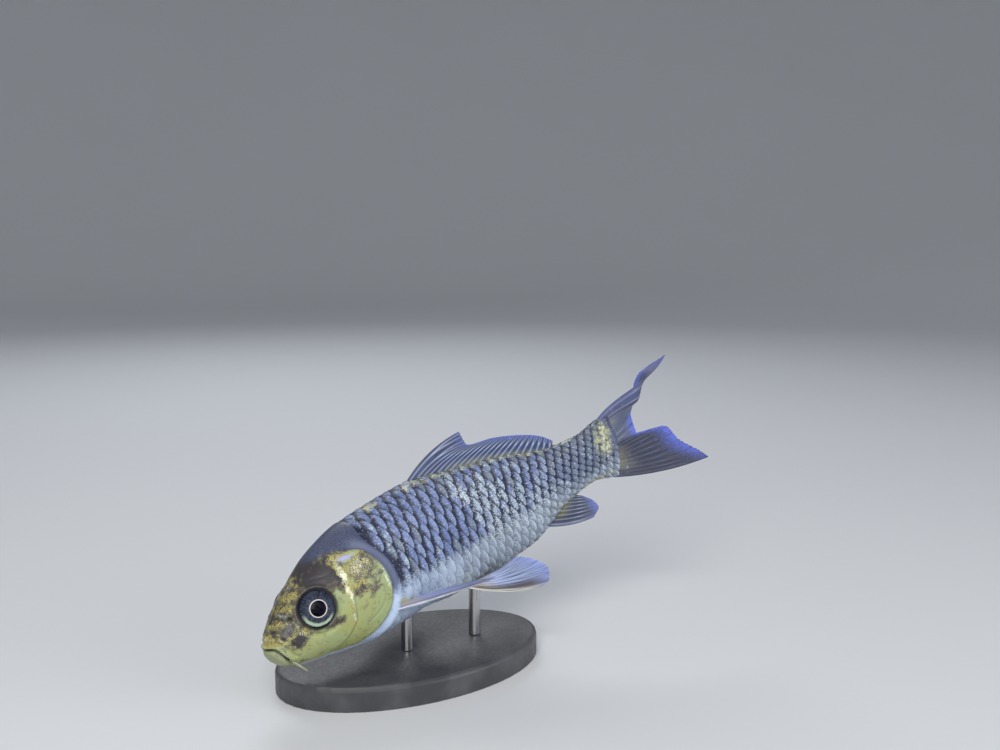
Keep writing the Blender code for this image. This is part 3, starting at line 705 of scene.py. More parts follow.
skinDetail = {
    "around": 312,
    # number of rings and where each part ends
    "parts": ((40, 0.080), (112, 0.345), (84, 1.030)),
    "snoutRings": 44,  # in the rounded tip, before those parts
    "reliefEnd": (0.34, 0.40),  # the head's relief fades out here
    "coatEdge": (-0.006, 0.012),  # the skin sinks under the scales across this band
}
feelers = {
    # root, middle, tip and radius of the two on the right side
    "routes": (
        ((0.029, 0.026, -0.014), (0.029, 0.0445, -0.024), (0.034, 0.0445, -0.0355), 0.0030),
        ((0.046, 0.022, -0.050), (0.050, 0.0495, -0.064), (0.060, 0.0515, -0.083), 0.0034),
    ),
    "steps": 22, "around": 12, "lip": 0.6,  # as pale as the lips by this much
}


def skinRings():
    rise = np.linspace(0, math.pi / 2, skinDetail["snoutRings"] + 1)[1:]
    rings = [fish["snoutStart"] + fish["snoutRounding"] * (1 - np.cos(rise))]
    start = fish["snoutStart"] + fish["snoutRounding"]
    for count, end in skinDetail["parts"]:
        rings.append(np.linspace(start, end, count + 1)[1:])
        start = end
    return np.concatenate(rings)


def feelerTube(root, middle, tip, radius, side):
    root, middle, tip = (np.array(p) * (1, side, 1) for p in (root, middle, tip))
    t = np.linspace(0, 1, feelers["steps"])[:, None]
    line = root * (1 - t) ** 2 + middle * 2 * t * (1 - t) + tip * t * t
    tangent = unit(np.gradient(line, axis=0))
    across = unit(np.cross(tangent, [0, 0, 1.0]))
    up = np.cross(across, tangent)
    taper = radius * (1 - 0.55 * t) * np.sqrt(np.maximum(1 - smooth(t, 0.90, 1.0) * 0.96, 0.01))
    turn = np.linspace(0, 2 * math.pi, feelers["around"], endpoint=False)[:, None]
    rings = across[:, None] * np.cos(turn) + up[:, None] * np.sin(turn)
    return (line[:, None] + rings * taper[:, None]).reshape(-1, 3)


def skinPiece():
    rings = skinRings()
    turns = np.linspace(0, 2 * math.pi, skinDetail["around"], endpoint=False)
    x, turn = np.meshgrid(rings, turns, indexing="ij")
    y, z = bodyPlace(x, turn)
    plain = np.stack([x, y, z], -1)
    wrapped = np.concatenate([plain[:, -1:], plain, plain[:, :1]], axis=1)
    normals = unit(np.cross((wrapped[:, 2:] - wrapped[:, :-2]) / 2, np.gradient(plain, axis=0)))
    covered = smooth(scaledPart(x, z)[0], *skinDetail["coatEdge"])
    shift = headRelief(x, y, z) * (1 - smooth(x, *skinDetail["reliefEnd"])) - fish["coatDepth"] * covered
    ends = [[fish["snoutStart"], 0, float(bodyLevel(fish["snoutStart"]))], [rings[-1] + 0.001, 0, 0]]
    places = np.vstack([plain.reshape(-1, 3), ends])
    straight = np.vstack([(plain + normals * shift[..., None]).reshape(-1, 3), ends])
    faces = tubeFaces(*x.shape)
    body, around = len(places), feelers["around"]
    for side in (-1, 1):
        for route in feelers["routes"]:
            start = len(straight)
            straight = np.vstack([straight, feelerTube(*route, side)])
            faces += gridFaces(feelers["steps"], around, start, closed=True)
            faces.append(tuple(range(start + around - 1, start - 1, -1)))
            faces.append(tuple(range(len(straight) - around, len(straight))))
    feelerPlaces = straight[body:]
    values = {name: np.r_[data, np.zeros(len(feelerPlaces))] for name, data in markingValues(places).items()}
    values["lip"][body:] = feelers["lip"]
    values["fishSpot"] = np.vstack([places, feelerPlaces])
    return meshPiece("koi_skin", onFish(straight), faces, koiSkin, values)


skin = faceOutwards(skinPiece())
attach(skin, "root")
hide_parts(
    "head", "jaw", "gill_cover_left", "gill_cover_right", "trunk_front", "trunk_rear", "tail_stalk",
    "barbel_upper_left", "barbel_upper_right", "barbel_lower_left", "barbel_lower_right",
)
print("skin made:", len(skin.data.polygons), "faces")

scaleCoat = {
    "rows": 22,  # rows round the whole girth, one along the back and one along the belly
    "firstGap": 0.0285,  # distance between scales in a row, at the shoulder
    "lastGap": 0.0212,  # and at the tail
    "overlap": 2.05,  # length of a scale in gaps
    "breadth": 1.84,  # breadth of a scale in rows
    "rootSink": 0.0046,  # how far the root lies under the skin
    "rise": 0.0040,  # how far the rear edge stands over the skin
    "slant": 0.22,  # each row stands this many gaps behind the one above it
    "dome": 0.0002,
    "thickness": 0.0011,
    "sizeSpread": 0.05,
    "plate": {"Size": (2, 2, 1), "Vertices X": 6, "Vertices Y": 7, "Vertices Z": 2},
    "roundness": 0.42,  # how far a plate's corners are pulled in
    "edgeThinning": 0.55,
    "dorsalBase": (0.478, 0.868),  # no scales on the back here
    "carrierRings": (0.20, 1.06, 120),  # where the surface that carries the scales starts and ends
    "carrierShares": (-0.08, 1.08, 140),
    "seed": 7,
}


def girthTurns(x, shares):
    # turns that part the girth at x into equal shares of its length
    turn = np.linspace(0, 2 * math.pi, 721)
    y, z = bodyPlace(np.full(turn.shape, x), turn)
    lengths = np.concatenate([[0], np.cumsum(np.hypot(np.diff(y), np.diff(z)))])
    whole = np.floor(shares)
    return np.interp((shares - whole) * lengths[-1], lengths, turn) + whole * 2 * math.pi


def carrierPiece():
    # the plain body surface that the scales lie on, laid out flat by length and share of the girth
    rings = np.linspace(*scaleCoat["carrierRings"])
    shares = np.linspace(*scaleCoat["carrierShares"])
    grid = []
    for x in rings:
        turn = girthTurns(min(x, 1.03), shares)
        x = np.full(turn.shape, x)
        grid.append(np.stack([x, *bodyPlace(x, turn)], -1))
    grid = np.array(grid)
    normals = gridNormals(grid)
    inner = grid - normals * fish["coatDepth"]
    crossed = np.sign(inner[..., 1]) != np.sign(grid[..., 1])
    inner[..., 1] = np.where(crossed, grid[..., 1] * 0.5, inner[..., 1])
    places = onFish(inner)
    x, share = np.meshgrid(rings, shares, indexing="ij")
    values = {
        "flatPlace": np.stack([x, share, 0 * x], -1).reshape(-1, 3),
        "outward": unit(onFish(inner + normals * 0.01) - places).reshape(-1, 3),
        "straightPlace": grid.reshape(-1, 3),
    }
    piece = meshPiece("scale_carrier", places, gridFaces(len(rings), len(shares)), koiScales, values)
    piece.hide_render = True
    return piece


def scaleLayout(left):
    random = np.random.default_rng(scaleCoat["seed"] + left)

    def gap(x):
        return np.interp(x, [0.30, 1.0], [scaleCoat["firstGap"], scaleCoat["lastGap"]])

    centres = [0.22]
    while centres[-1] < 1.04:
        centres.append(centres[-1] + gap(centres[-1]))
    rows = scaleCoat["rows"]
    finStart, finEnd = scaleCoat["dorsalBase"]
    flat, spread = [], []
    for row in range(0, rows // 2 + 1) if left else range(rows // 2 + 1, rows):
        below = min(row, rows - row) - rows / 4
        numbers = np.arange(-4, len(centres) - 1) + (0.5 if row % 2 else 0.0) + scaleCoat["slant"] * below
        share = row / rows
        for place in np.interp(numbers[numbers > 0], np.arange(len(centres)), centres):
            turn = girthTurns(place, np.array([share]))
            y, z = bodyPlace(np.array([place]), turn)
            front, tail = scaledPart(np.array([place]) + 0.25 * gap(place), z)
            onBack = abs(y[0]) < 0.006 and finStart < place < finEnd and z[0] > 0
            if front[0] < -0.001 or tail[0] < 0.004 or onBack:
                continue
            size = 1 + random.uniform(-scaleCoat["sizeSpread"], scaleCoat["sizeSpread"])
            flat.append((place, share, 0))
            length, breadth = scaleCoat["overlap"] * gap(place) * size, scaleCoat["breadth"] / rows * size
            spread.append((length, breadth, random.uniform(0, 1)))
    return np.array(flat), np.array(spread)


def finishGeometry(geometry, given, end):
    geometry = addNode(geometry.tree, "GeometryNodeSetShadeSmooth", {"Geometry": geometry})
    inputs = {"Geometry": geometry, "Material": given["Material"]}
    setInput(end[0], addNode(geometry.tree, "GeometryNodeSetMaterial", inputs))


def scaleTree():
    numbers = [(name, "Float") for name in ("Root Sink", "Rise", "Dome", "Thickness", "Slant")]
    inputs = [("Geometry", "Geometry"), ("Body", "Object"), *numbers, ("Material", "Material")]
    tree, given, end = newTree("scaleCoat", "GeometryNodeTree", inputs, [("Geometry", "Geometry")])

    def named(name):
        inputs = {"Name": name}
        return addNode(tree, "GeometryNodeInputNamedAttribute", inputs, "Attribute", data_type="FLOAT_VECTOR")

    def store(geometry, name, value, kind="FLOAT_VECTOR", domain="POINT"):
        inputs = {"Geometry": geometry, "Name": name, "Value": value}
        return addNode(tree, "GeometryNodeStoreNamedAttribute", inputs, "Geometry", data_type=kind, domain=domain)

    # one plate: a closed square that is pulled into a rounded scale
    plate = addNode(tree, "GeometryNodeMeshCube", scaleCoat["plate"], "Mesh")
    position = addNode(tree, "GeometryNodeInputPosition")
    corner = addNode(tree, "GeometryNodeInputMeshEdgeAngle", output="Unsigned Angle")
    rim = addNode(tree, "FunctionNodeCompare", {0: corner, 1: 0.5}, data_type="FLOAT", operation="GREATER_THAN")
    inputs = {"Geometry": plate, "Selection": rim, "Shade Smooth": False}
    plate = store(addNode(tree, "GeometryNodeSetShadeSmooth", inputs, domain="EDGE"), "scaleSpot", position)
    inputs = {"Points": given["Geometry"], "Instance": plate}
    scattered = addNode(tree, "GeometryNodeInstanceOnPoints", inputs, "Instances")
    real = addNode(tree, "GeometryNodeRealizeInstances", {"Geometry": scattered})

    # where each point of a plate lies on the laid-out body
    a, b, c = split(named("scaleSpot"))
    squareA, squareB = a * a, b * b
    roundA = a * mathNode("SQRT", 1.0 - squareB * scaleCoat["roundness"])
    roundB = b * mathNode("SQRT", 1.0 - squareA * scaleCoat["roundness"])
    length, breadth, _ = split(named("spread"))

    def fromBack(share):
        # share of the girth counted down from the back on either side
        fold = mathNode("ABSOLUTE", mathNode("ABSOLUTE", share) - 0.5)
        return mathNode("ABSOLUTE", 0.5 - fold)

    share = split(named("rootPlace"))[1]
    reach = roundB * (breadth * 0.5)
    slanted = (fromBack(share + reach) - fromBack(share)) * given["Slant"] * length
    flat = vectorMath("ADD", named("rootPlace"), join(roundA * (length * 0.5) + slanted, reach))
    body = addNode(tree, "GeometryNodeObjectInfo", {"Object": given["Body"]}, "Geometry")

    def sample(value):
        inputs = {"Mesh": body, "Value": value, 2: named("flatPlace"), "Sample UV": flat}
        return addNode(tree, "GeometryNodeSampleUVSurface", inputs, "Value", data_type="FLOAT_VECTOR")

    # how high it stands
    rise = roundA * 0.5 + 0.5
    height = rise * (given["Rise"] + given["Root Sink"]) - given["Root Sink"]
    crown = given["Dome"] * (1.0 - (squareA + squareB))
    edgeThin = 1.0 - mathNode("MAXIMUM", squareA, squareB) * scaleCoat["edgeThinning"]
    lift = height + crown + c * given["Thickness"] * edgeThin
    raised = vectorMath("SCALE", sample(named("outward")), lift * fish["length"])
    inputs = {"Geometry": real, "Position": vectorMath("ADD", sample(position), raised)}
    shaped = store(addNode(tree, "GeometryNodeSetPosition", inputs), "fishSpot", sample(named("straightPlace")))
    # a small patch for each scale at its own place on the laid-out skin
    patch = vectorMath("MULTIPLY", named("scaleSpot"), (0.0015, 0.0015, 0))
    flatUv = vectorMath("MULTIPLY_ADD", named("rootPlace"), (1.1, 0.9, 0), (-0.2, 0.04, 0))
    shaped = store(shaped, "OFBake", vectorMath("ADD", flatUv, patch), "FLOAT2", "CORNER")
    finishGeometry(shaped, given, end)
    return tree


def runNodes(source, tree, name, settings):
    modifier = source.modifiers.new("nodes", "NODES")
    modifier.node_group = tree
    for item in tree.interface.items_tree:
        if item.item_type == "SOCKET" and item.in_out == "INPUT" and item.name in settings:
            modifier[item.identifier] = settings[item.name]
    bpy.context.view_layer.update()
    evaluated = source.evaluated_get(bpy.context.evaluated_depsgraph_get())
    mesh = bpy.data.meshes.new_from_object(evaluated)
    mesh.name = name
    source.modifiers.remove(modifier)
    bpy.data.objects.remove(source)
    return addObject(name, mesh)


carrier = carrierPiece()
coatTree = scaleTree()
for word in ("left", "right"):
    flat, spread = scaleLayout(word == "left")
    values = {"rootPlace": flat, "spread": spread, "tone": spread[:, 2]}
    layout = meshPiece("scale_layout", flat, [], koiScales, values)
    coat = runNodes(layout, coatTree, "scales_" + word, {
        "Body": carrier, "Root Sink": scaleCoat["rootSink"], "Rise": scaleCoat["rise"],
        "Dome": scaleCoat["dome"], "Thickness": scaleCoat["thickness"], "Material": koiScales,
        "Slant": scaleCoat["slant"] * scaleCoat["rows"] / scaleCoat["overlap"],
    })
    storeValues(coat.data, markingValues(readVectors(coat.data.attributes["fishSpot"].data, "vector")))
    faceOutwards(coat)
    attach(coat, "root")
    print("scales", word, "made:", len(flat), "scales,", len(coat.data.polygons), "faces")
bpy.data.objects.remove(carrier)

# Colours from the root to the margin, of the rays, of the leading band and of the band behind it.
finLooks = {
    "dorsal": {
        "root": (0.150, 0.160, 0.120), "middle": (0.034, 0.052, 0.125), "margin": (0.060, 0.095, 0.360),
        "ray": (0.310, 0.370, 0.520), "lead": (0.050, 0.065, 0.130), "band": (0.040, 0.055, 0.130),
    },
    # the two lobes of the tail share one fin's colours: the lower lobe's are a darker copy, painted shade, and the
    # upper lobe's a lighter copy, painted light
    "tail": {
        "root": (0.170, 0.162, 0.112), "middle": (0.018, 0.023, 0.044), "margin": (0.080, 0.120, 0.560),
        "ray": (0.060, 0.070, 0.130), "lead": (0.030, 0.030, 0.055), "band": (0.026, 0.026, 0.046),
    },
    "tailTop": {
        "root": (0.260, 0.240, 0.140), "middle": (0.105, 0.125, 0.180), "margin": (0.140, 0.200, 0.780),
        "ray": (0.160, 0.180, 0.280), "lead": (0.070, 0.084, 0.200), "band": (0.052, 0.060, 0.130),
    },
    "anal": {
        "root": (0.180, 0.170, 0.045), "middle": (0.040, 0.052, 0.085), "margin": (0.130, 0.170, 0.480),
        "ray": (0.220, 0.250, 0.370), "lead": (0.110, 0.125, 0.200), "band": (0.034, 0.040, 0.065),
    },
    "pelvic": {
        "root": (0.340, 0.300, 0.160), "middle": (0.330, 0.410, 0.640), "margin": (0.280, 0.360, 0.720),
        "ray": (0.060, 0.060, 0.110), "lead": (0.760, 0.780, 0.660), "band": (0.110, 0.080, 0.060),
    },
    "pectoral": {
        "root": (0.320, 0.260, 0.110), "middle": (0.250, 0.310, 0.580), "margin": (0.280, 0.330, 0.680),
        "ray": (0.340, 0.380, 0.600), "lead": (0.560, 0.580, 0.640), "band": (0.110, 0.075, 0.070),
    },
}


def finGroup():
    inputs = [(name.title(), "Color", value + (1,)) for name, value in finLooks["dorsal"].items()]
    outputs = [("Color", "Color"), ("Alpha", "Float"), ("Grain", "Float")]
    group, given, end = newTree("finStreaks", "ShaderNodeTree", inputs, outputs)
    across, along, _ = split(readVector(group, "finSpot"))
    ray = readValue(group, "ray")
    streaks = noise(join(across * 46.0, along * 2.4), 1.0, 3.0, 0.6)
    fine = noise(readVector(group, "fishSpot"), 120.0, 4.0, 0.6)
    drift = along + (fine - 0.5) * 0.35
    fadeLead = ramp(along, 0.75, 1.0, 0.9, 0.3)
    web = layers(
        mixColour(ramp(drift, 0.05, 0.42), given["Root"], given["Middle"]), given,
        (ramp(drift, 0.70, 1.02), "Margin"),
        (ramp(across, 0.16, 0.40, 1.0, 0.0) * fadeLead, "Band"),
        (ramp(across, 0.05, 0.15, 1.0, 0.0) * fadeLead, "Lead"),
    )
    web = mixColour(ramp(streaks, 0.42, 0.66, 0.0, 0.62), web, (0.03, 0.028, 0.04, 1))
    web = mixColour(ray * ramp(along, 0.55, 1.0, 0.85, 0.35), web, given["Ray"])
    web = mixColour(ramp(fine, 0.62, 0.76, 0.0, 0.35), web, (0.55, 0.55, 0.62, 1))
    thin = ramp(along, 0.25, 0.9) * clamped(1.0 - ray)
    for name, value in (("Color", web), ("Alpha", 1.0 - thin * 0.16), ("Grain", streaks * 0.6 + fine * 0.4)):
        setInput(end[name], value)
    return group


finStreaks = finGroup()


def finMaterial(kind):
    material, tree, shader = newMaterial("koiFin_" + kind)
    colours = {name.title(): value + (1,) for name, value in finLooks[kind].items()}
    streaks = useGroup(tree, finStreaks, colours)
    dress(shader, {
        "Base Color": streaks["Color"], "Alpha": streaks["Alpha"],
        "Roughness": ramp(streaks["Grain"], 0.3, 0.7, 0.30, 0.46),
        "Specular IOR Level": 0.22, "Coat Weight": 0.10, "Coat Roughness": 0.2,
    }, streaks["Grain"], 0.35, 0.0003)
    return material


def uprightRays(base, rootHeight, margin, bows, fold=None):
    # a fin in the fish's middle plane: where its base starts and ends, and places along its margin
    tipX, tipZ = columnCurve(margin, 1), columnCurve(margin, 2)

    def ray(u):
        rootX = base[0] + (base[1] - base[0]) * u
        root = np.stack([rootX, 0 * u, rootHeight(rootX, u)], -1)
        tip = np.stack([tipX(u), 0 * u, tipZ(u)], -1)
        reach = tip - root
        forward = np.stack([reach[..., 2], 0 * u, -reach[..., 0]], -1)
        first, second = bows(u)
        return root, tip, forward * first[..., None], forward * second[..., None]

    return {"ray": ray, "fold": fold}


def sideRays(side, base, lengths, first, last, camber):
    # a paired fin: its base, the lengths of its rays, and which way its first and last ray point
    mirror = np.array([1, side, 1])
    front, rear = (np.array(p) * mirror for p in base)
    first, last = (np.array(d) * mirror / np.linalg.norm(d) for d in (first, last))
    length = curveThrough(lengths)

    def ray(u):
        direction = unit(first * (1 - u[..., None]) + last * u[..., None])
        root = front + (rear - front) * u[..., None] - direction * fish["rootDepth"]
        bow = np.array([0, 0, -1.0]) * (camber * length(u) * (1 - 0.6 * u))[..., None]
        return root, root + direction * length(u)[..., None], bow, bow

    return {"ray": ray, "fold": None}


def rayPath(shape, u, t):
    root, tip, first, second = shape["ray"](u)
    t3 = t[..., None]
    first = root + (tip - root) / 3 + first
    second = root + (tip - root) * 2 / 3 + second
    return root * (1 - t3) ** 3 + tip * t3 ** 3 + first * 3 * t3 * (1 - t3) ** 2 + second * 3 * t3 * t3 * (1 - t3)


tailCurl = curveThrough(((0, 0.0), (0.1, 0.032), (0.22, 0.060), (0.5, 0.050), (0.8, 0.020), (1, 0.0)))
tailTwist = {"degrees": 85.0, "start": 1.12, "end": 1.20}


def foldTail(shape, place, u, t):
    # curls the upper lobe to the side and turns its outer part about the leading ray
    lead = rayPath(shape, np.ones(60), np.linspace(0, 1, 60))
    below = np.interp(place[..., 0], lead[:, 0], lead[:, 2]) - place[..., 2]
    turn = math.radians(tailTwist["degrees"]) * smooth(place[..., 0], tailTwist["start"], tailTwist["end"])
    place[..., 1] += tailCurl(u) * t ** 1.5 + below * np.sin(turn)
    place[..., 2] += below * (1 - np.cos(turn))


finShapes = {
    "dorsal_fin": {
        "shape": uprightRays(
            (0.480, 0.862), lambda x, u: bodyTop(x) - fish["rootDepth"],
            (
                (0, 0.663, 0.208), (0.10, 0.668, 0.172), (0.35, 0.735, 0.158), (0.7, 0.812, 0.130),
                (0.88, 0.850, 0.108), (1, 0.872, 0.086),
            ),
            lambda u: (-0.10 * (1 - u), -0.10 * (1 - u)),
        ),
        "look": "dorsal", "rays": 21, "spine": 1.9,
    },
    "anal_fin": {
        "shape": uprightRays(
            (0.768, 0.862), lambda x, u: -bodyBottom(x) + fish["rootDepth"],
            ((0, 0.896, -0.139), (0.3, 0.918, -0.120), (0.65, 0.910, -0.098), (1, 0.890, -0.076)),
            lambda u: (0.08 * (1 - u), 0.08 * (1 - u)),
        ),
        "look": "anal", "rays": 8, "spine": 1.7,
    },
    "tail_fin_lower": {
        "shape": uprightRays(
            (0.985, 0.985), lambda x, u: -0.072 * u,
            (
                (0, 1.088, 0.0020), (0.22, 1.172, -0.020), (0.5, 1.190, -0.064), (0.8, 1.238, -0.125),
                (1, 1.254, -0.150),
            ),
            lambda u: (0.05 * u, 0.05 * u),
        ),
        "look": "tail", "rays": 10, "spine": 1.5, "leadLast": True,
    },
    "tail_fin_upper": {
        "shape": uprightRays(
            (0.985, 0.985), lambda x, u: 0.072 * u,
            (
                (0, 1.088, 0.0020), (0.22, 1.123, 0.040), (0.5, 1.168, 0.076), (0.8, 1.215, 0.090),
                (1, 1.247, 0.149),
            ),
            lambda u: (-0.10 * u, 0.12 * u),
            foldTail,
        ),
        "look": "tailTop", "rays": 10, "spine": 1.5, "leadLast": True,
    },
}
for word, side in (("left", -1), ("right", 1)):
    finShapes["pectoral_fin_" + word] = {
        "shape": sideRays(
            side, ((0.312, 0.085, -0.075), (0.336, 0.069, -0.070)),
            ((0, 0.262), (0.15, 0.270), (0.45, 0.240), (0.75, 0.185), (1, 0.128)),
            (0.75, 0.69, 0.045), (0.97, 0.17, -0.150), 0.02,
        ),
        "look": "pectoral", "rays": 16, "spine": 1.4,
    }
    finShapes["pelvic_fin_" + word] = {
        "shape": sideRays(
            side, ((0.515, 0.045, -0.126), (0.552, 0.036, -0.130)),
            ((0, 0.200), (0.15, 0.214), (0.35, 0.212), (0.7, 0.172), (1, 0.130)),
            (0.878, 0.306, -0.372), (0.837, 0.503, 0.231), 0.10,
        ),
        "look": "pelvic", "rays": 9, "spine": 1.5,
    }
finDetail = {
    "stepsPerRay": 7, "stepsAlong": 44,
    "marginThickness": 0.0017, "rootThickness": 0.0090, "notch": 0.012,
    "rayRadius": 0.0014, "tipRadius": 0.0006, "raySides": 6, "raySteps": 26, "rayEnd": 0.985,
    "rayWidth": 0.11, "rayTaper": 0.03,  # of the raised rays in the blade, in gaps between rays
    "web": 0.72,  # thickness between the rays, where it is 1 on them
    "split": 0.40, "splitEnd": 0.85, "fork": 0.20,  # where each ray forks, and how far in widths of a ray
}


def finPlace(shape, u, t):
    place = rayPath(shape, u, t)
    if shape["fold"]:
        shape["fold"](shape, place, u, t)
    return place


def forkAt(t):
    return finDetail["fork"] * smooth(t, finDetail["split"], finDetail["splitEnd"])


def finSpot(fin, u, t):
    # share of the way across from the leading edge, and share of the way out
    return np.stack([1 - u if fin.get("leadLast") else u, t, 0 * t], -1)


def finBlade(name, fin):
    rays = fin["rays"]
    across = np.linspace(0, 1, rays * finDetail["stepsPerRay"] + 1)
    along = np.linspace(0, 1, finDetail["stepsAlong"])
    u, t = np.meshgrid(across, along, indexing="ij")
    # 1 on a ray, 0 between
    phase, width = (u * rays) % 1 - 0.5, finDetail["rayWidth"] - finDetail["rayTaper"] * t
    mask = np.maximum(bump(phase - forkAt(t), width), bump(phase + forkAt(t), width))
    straight = finPlace(fin["shape"], u, t * (1 - finDetail["notch"] * (1 - mask) * t ** 3))
    grid = onFish(straight)
    normals = gridNormals(grid)
    thin, thick = finDetail["marginThickness"], finDetail["rootThickness"]
    ribbed = finDetail["web"] + (1 - finDetail["web"]) * mask
    half = (thin + (thick - thin) * (1 - t) ** 1.7) * ribbed * fish["length"] / 2
    half = (half * (1 - 0.55 * smooth(t, 0.94, 1.0)))[..., None]
    points = np.concatenate([(grid + normals * half).reshape(-1, 3), (grid - normals * half).reshape(-1, 3)])
    rows, steps = u.shape
    back = rows * steps
    faces = gridFaces(rows, steps) + gridFaces(rows, steps, back, turned=True)
    edge = list(range(steps)) + [r * steps + steps - 1 for r in range(1, rows)]
    edge += [(rows - 1) * steps + s for s in range(steps - 2, -1, -1)] + [r * steps for r in range(rows - 2, 0, -1)]
    for a, b in zip(edge, edge[1:] + edge[:1]):
        faces.append((b, a, back + a, back + b))
    values = {
        "finSpot": np.tile(finSpot(fin, u, t).reshape(-1, 3), (2, 1)),
        "ray": np.tile(mask.ravel(), 2),
        "fishSpot": np.tile(straight.reshape(-1, 3), (2, 1)),
    }
    return meshPiece(name + "_blade", points, faces, finMaterials[fin["look"]], values)


def rayTree():
    inputs = [("Geometry", "Geometry"), ("Sides", "Int"), ("Material", "Material")]
    tree, given, end = newTree("finRays", "GeometryNodeTree", inputs, [("Geometry", "Geometry")])
    curves = addNode(tree, "GeometryNodeMeshToCurve", {0: given["Geometry"]})
    named = {"Name": "rayRadius"}
    radius = addNode(tree, "GeometryNodeInputNamedAttribute", named, "Attribute", data_type="FLOAT")
    circle = {"Resolution": given["Sides"], "Radius": 1.0}
    ring = addNode(tree, "GeometryNodeCurvePrimitiveCircle", circle, mode="RADIUS")
    inputs = {"Curve": curves, "Profile Curve": ring, "Scale": radius, "Fill Caps": True}
    tubes = addNode(tree, "GeometryNodeCurveToMesh", inputs)
    finishGeometry(addNode(tree, "GeometryNodeRealizeInstances", {"Geometry": tubes}), given, end)
    return tree


def finRays(name, fin, tree):
    rays, t = fin["rays"], np.linspace(0.0, finDetail["rayEnd"], finDetail["raySteps"])
    size = finDetail["rayRadius"] + (finDetail["tipRadius"] - finDetail["rayRadius"]) * t ** 0.8
    leading = rays - 1 if fin.get("leadLast") else 0
    edges, spots, radii, straights = [], [], [], []
    for ray in range(rays):
        for branch in (-1, 1):
            u = (ray + 0.5 + branch * forkAt(t)) / rays
            start = len(spots) * len(t)
            edges += [(start + i, start + i + 1) for i in range(len(t) - 1)]
            spots.append(finSpot(fin, u, t))
            straights.append(finPlace(fin["shape"], u, t))
            radii.append(size * (fin["spine"] if ray == leading else 1.0) * fish["length"])
    straights, radii = np.vstack(straights), np.concatenate(radii)
    mesh = bpy.data.meshes.new("ray_lines")
    mesh.from_pydata(onFish(straights).tolist(), edges, [])
    values = {"finSpot": np.vstack(spots), "fishSpot": straights, "rayRadius": radii, "ray": np.ones(len(radii))}
    storeValues(mesh, values)
    settings = {"Sides": finDetail["raySides"], "Material": finMaterials[fin["look"]]}
    return runNodes(addObject("ray_lines", mesh), tree, name + "_rays", settings)


finMaterials = {kind: finMaterial(kind) for kind in finLooks}
finRayTree = rayTree()
for name, fin in finShapes.items():
    for piece in (faceOutwards(finBlade(name, fin)), faceOutwards(finRays(name, fin, finRayTree))):
        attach(piece, "root")
        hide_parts(name)
print("fins made:", len(finShapes))

eyeLook = {
    "pupil": 0.420, "ring": 0.446,  # shares of the eye's radius
    "bands": 56, "around": 72,
    "pupilColour": (0.0005, 0.0006, 0.004, 1), "ringColour": (0.620, 0.560, 0.560, 1),
    "irisColour": (0.054, 0.064, 0.092, 1), "irisDark": (0.006, 0.008, 0.018, 1),
    "crescent": (0.360, 0.470, 0.340, 1), "speck": (0.5, 0.5, 0.48, 1),
    "tilt": 20,  # degrees that down leans, for the crescent
}


def eyeMaterial():
    material, tree, shader = newMaterial("koiEye")
    radius, down, _ = split(readVector(tree, "eyeSpot"))
    spot = readVector(tree, "fishSpot")
    fibre = noise(readVector(tree, "fibreSpot"), 1.0, 4.0, 0.65)
    cloud = noise(spot, 150.0, 3.0, 0.6)
    ringPlace = radius + (cloud - 0.5) * 0.10
    low = ramp(down, 0.20, 0.80) * (ramp(ringPlace, 0.70, 0.80) * ramp(ringPlace, 0.86, 0.92, 1.0, 0.0))
    speck = ramp(noise(spot, 420.0, 2.0, 0.6), 0.62, 0.74, 0.0, 0.5)
    iris = layers(
        mixColour(ramp(fibre + cloud * 0.6, 0.55, 1.05), eyeLook["irisDark"], eyeLook["irisColour"]), eyeLook,
        # painted shade: the outer band of the ball, where it sits in its socket, is darkened with the iris's dark
        # colour
        (ramp(radius, 0.86, 0.96, 0.0, 0.95), "irisDark"),
        (low * 0.95, "crescent"),
        (speck * ramp(down, -0.2, 0.6), "speck"),
    )
    ring, pupil = eyeLook["ring"], eyeLook["pupil"]
    colour = mixColour(ramp(radius, ring - 0.02, ring + 0.05), eyeLook["ringColour"], iris)
    colour = mixColour(ramp(radius, pupil - 0.012, pupil + 0.012), eyeLook["pupilColour"], colour)
    dress(shader, {
        "Base Color": colour, "Roughness": ramp(radius, 0.36, 0.44, 0.12, 0.34),
        "Specular IOR Level": 0.05, "Coat Weight": 0.05, "Coat Roughness": 0.04,
    }, fibre, 0.5, 0.0002)
    return material


koiEye = eyeMaterial()


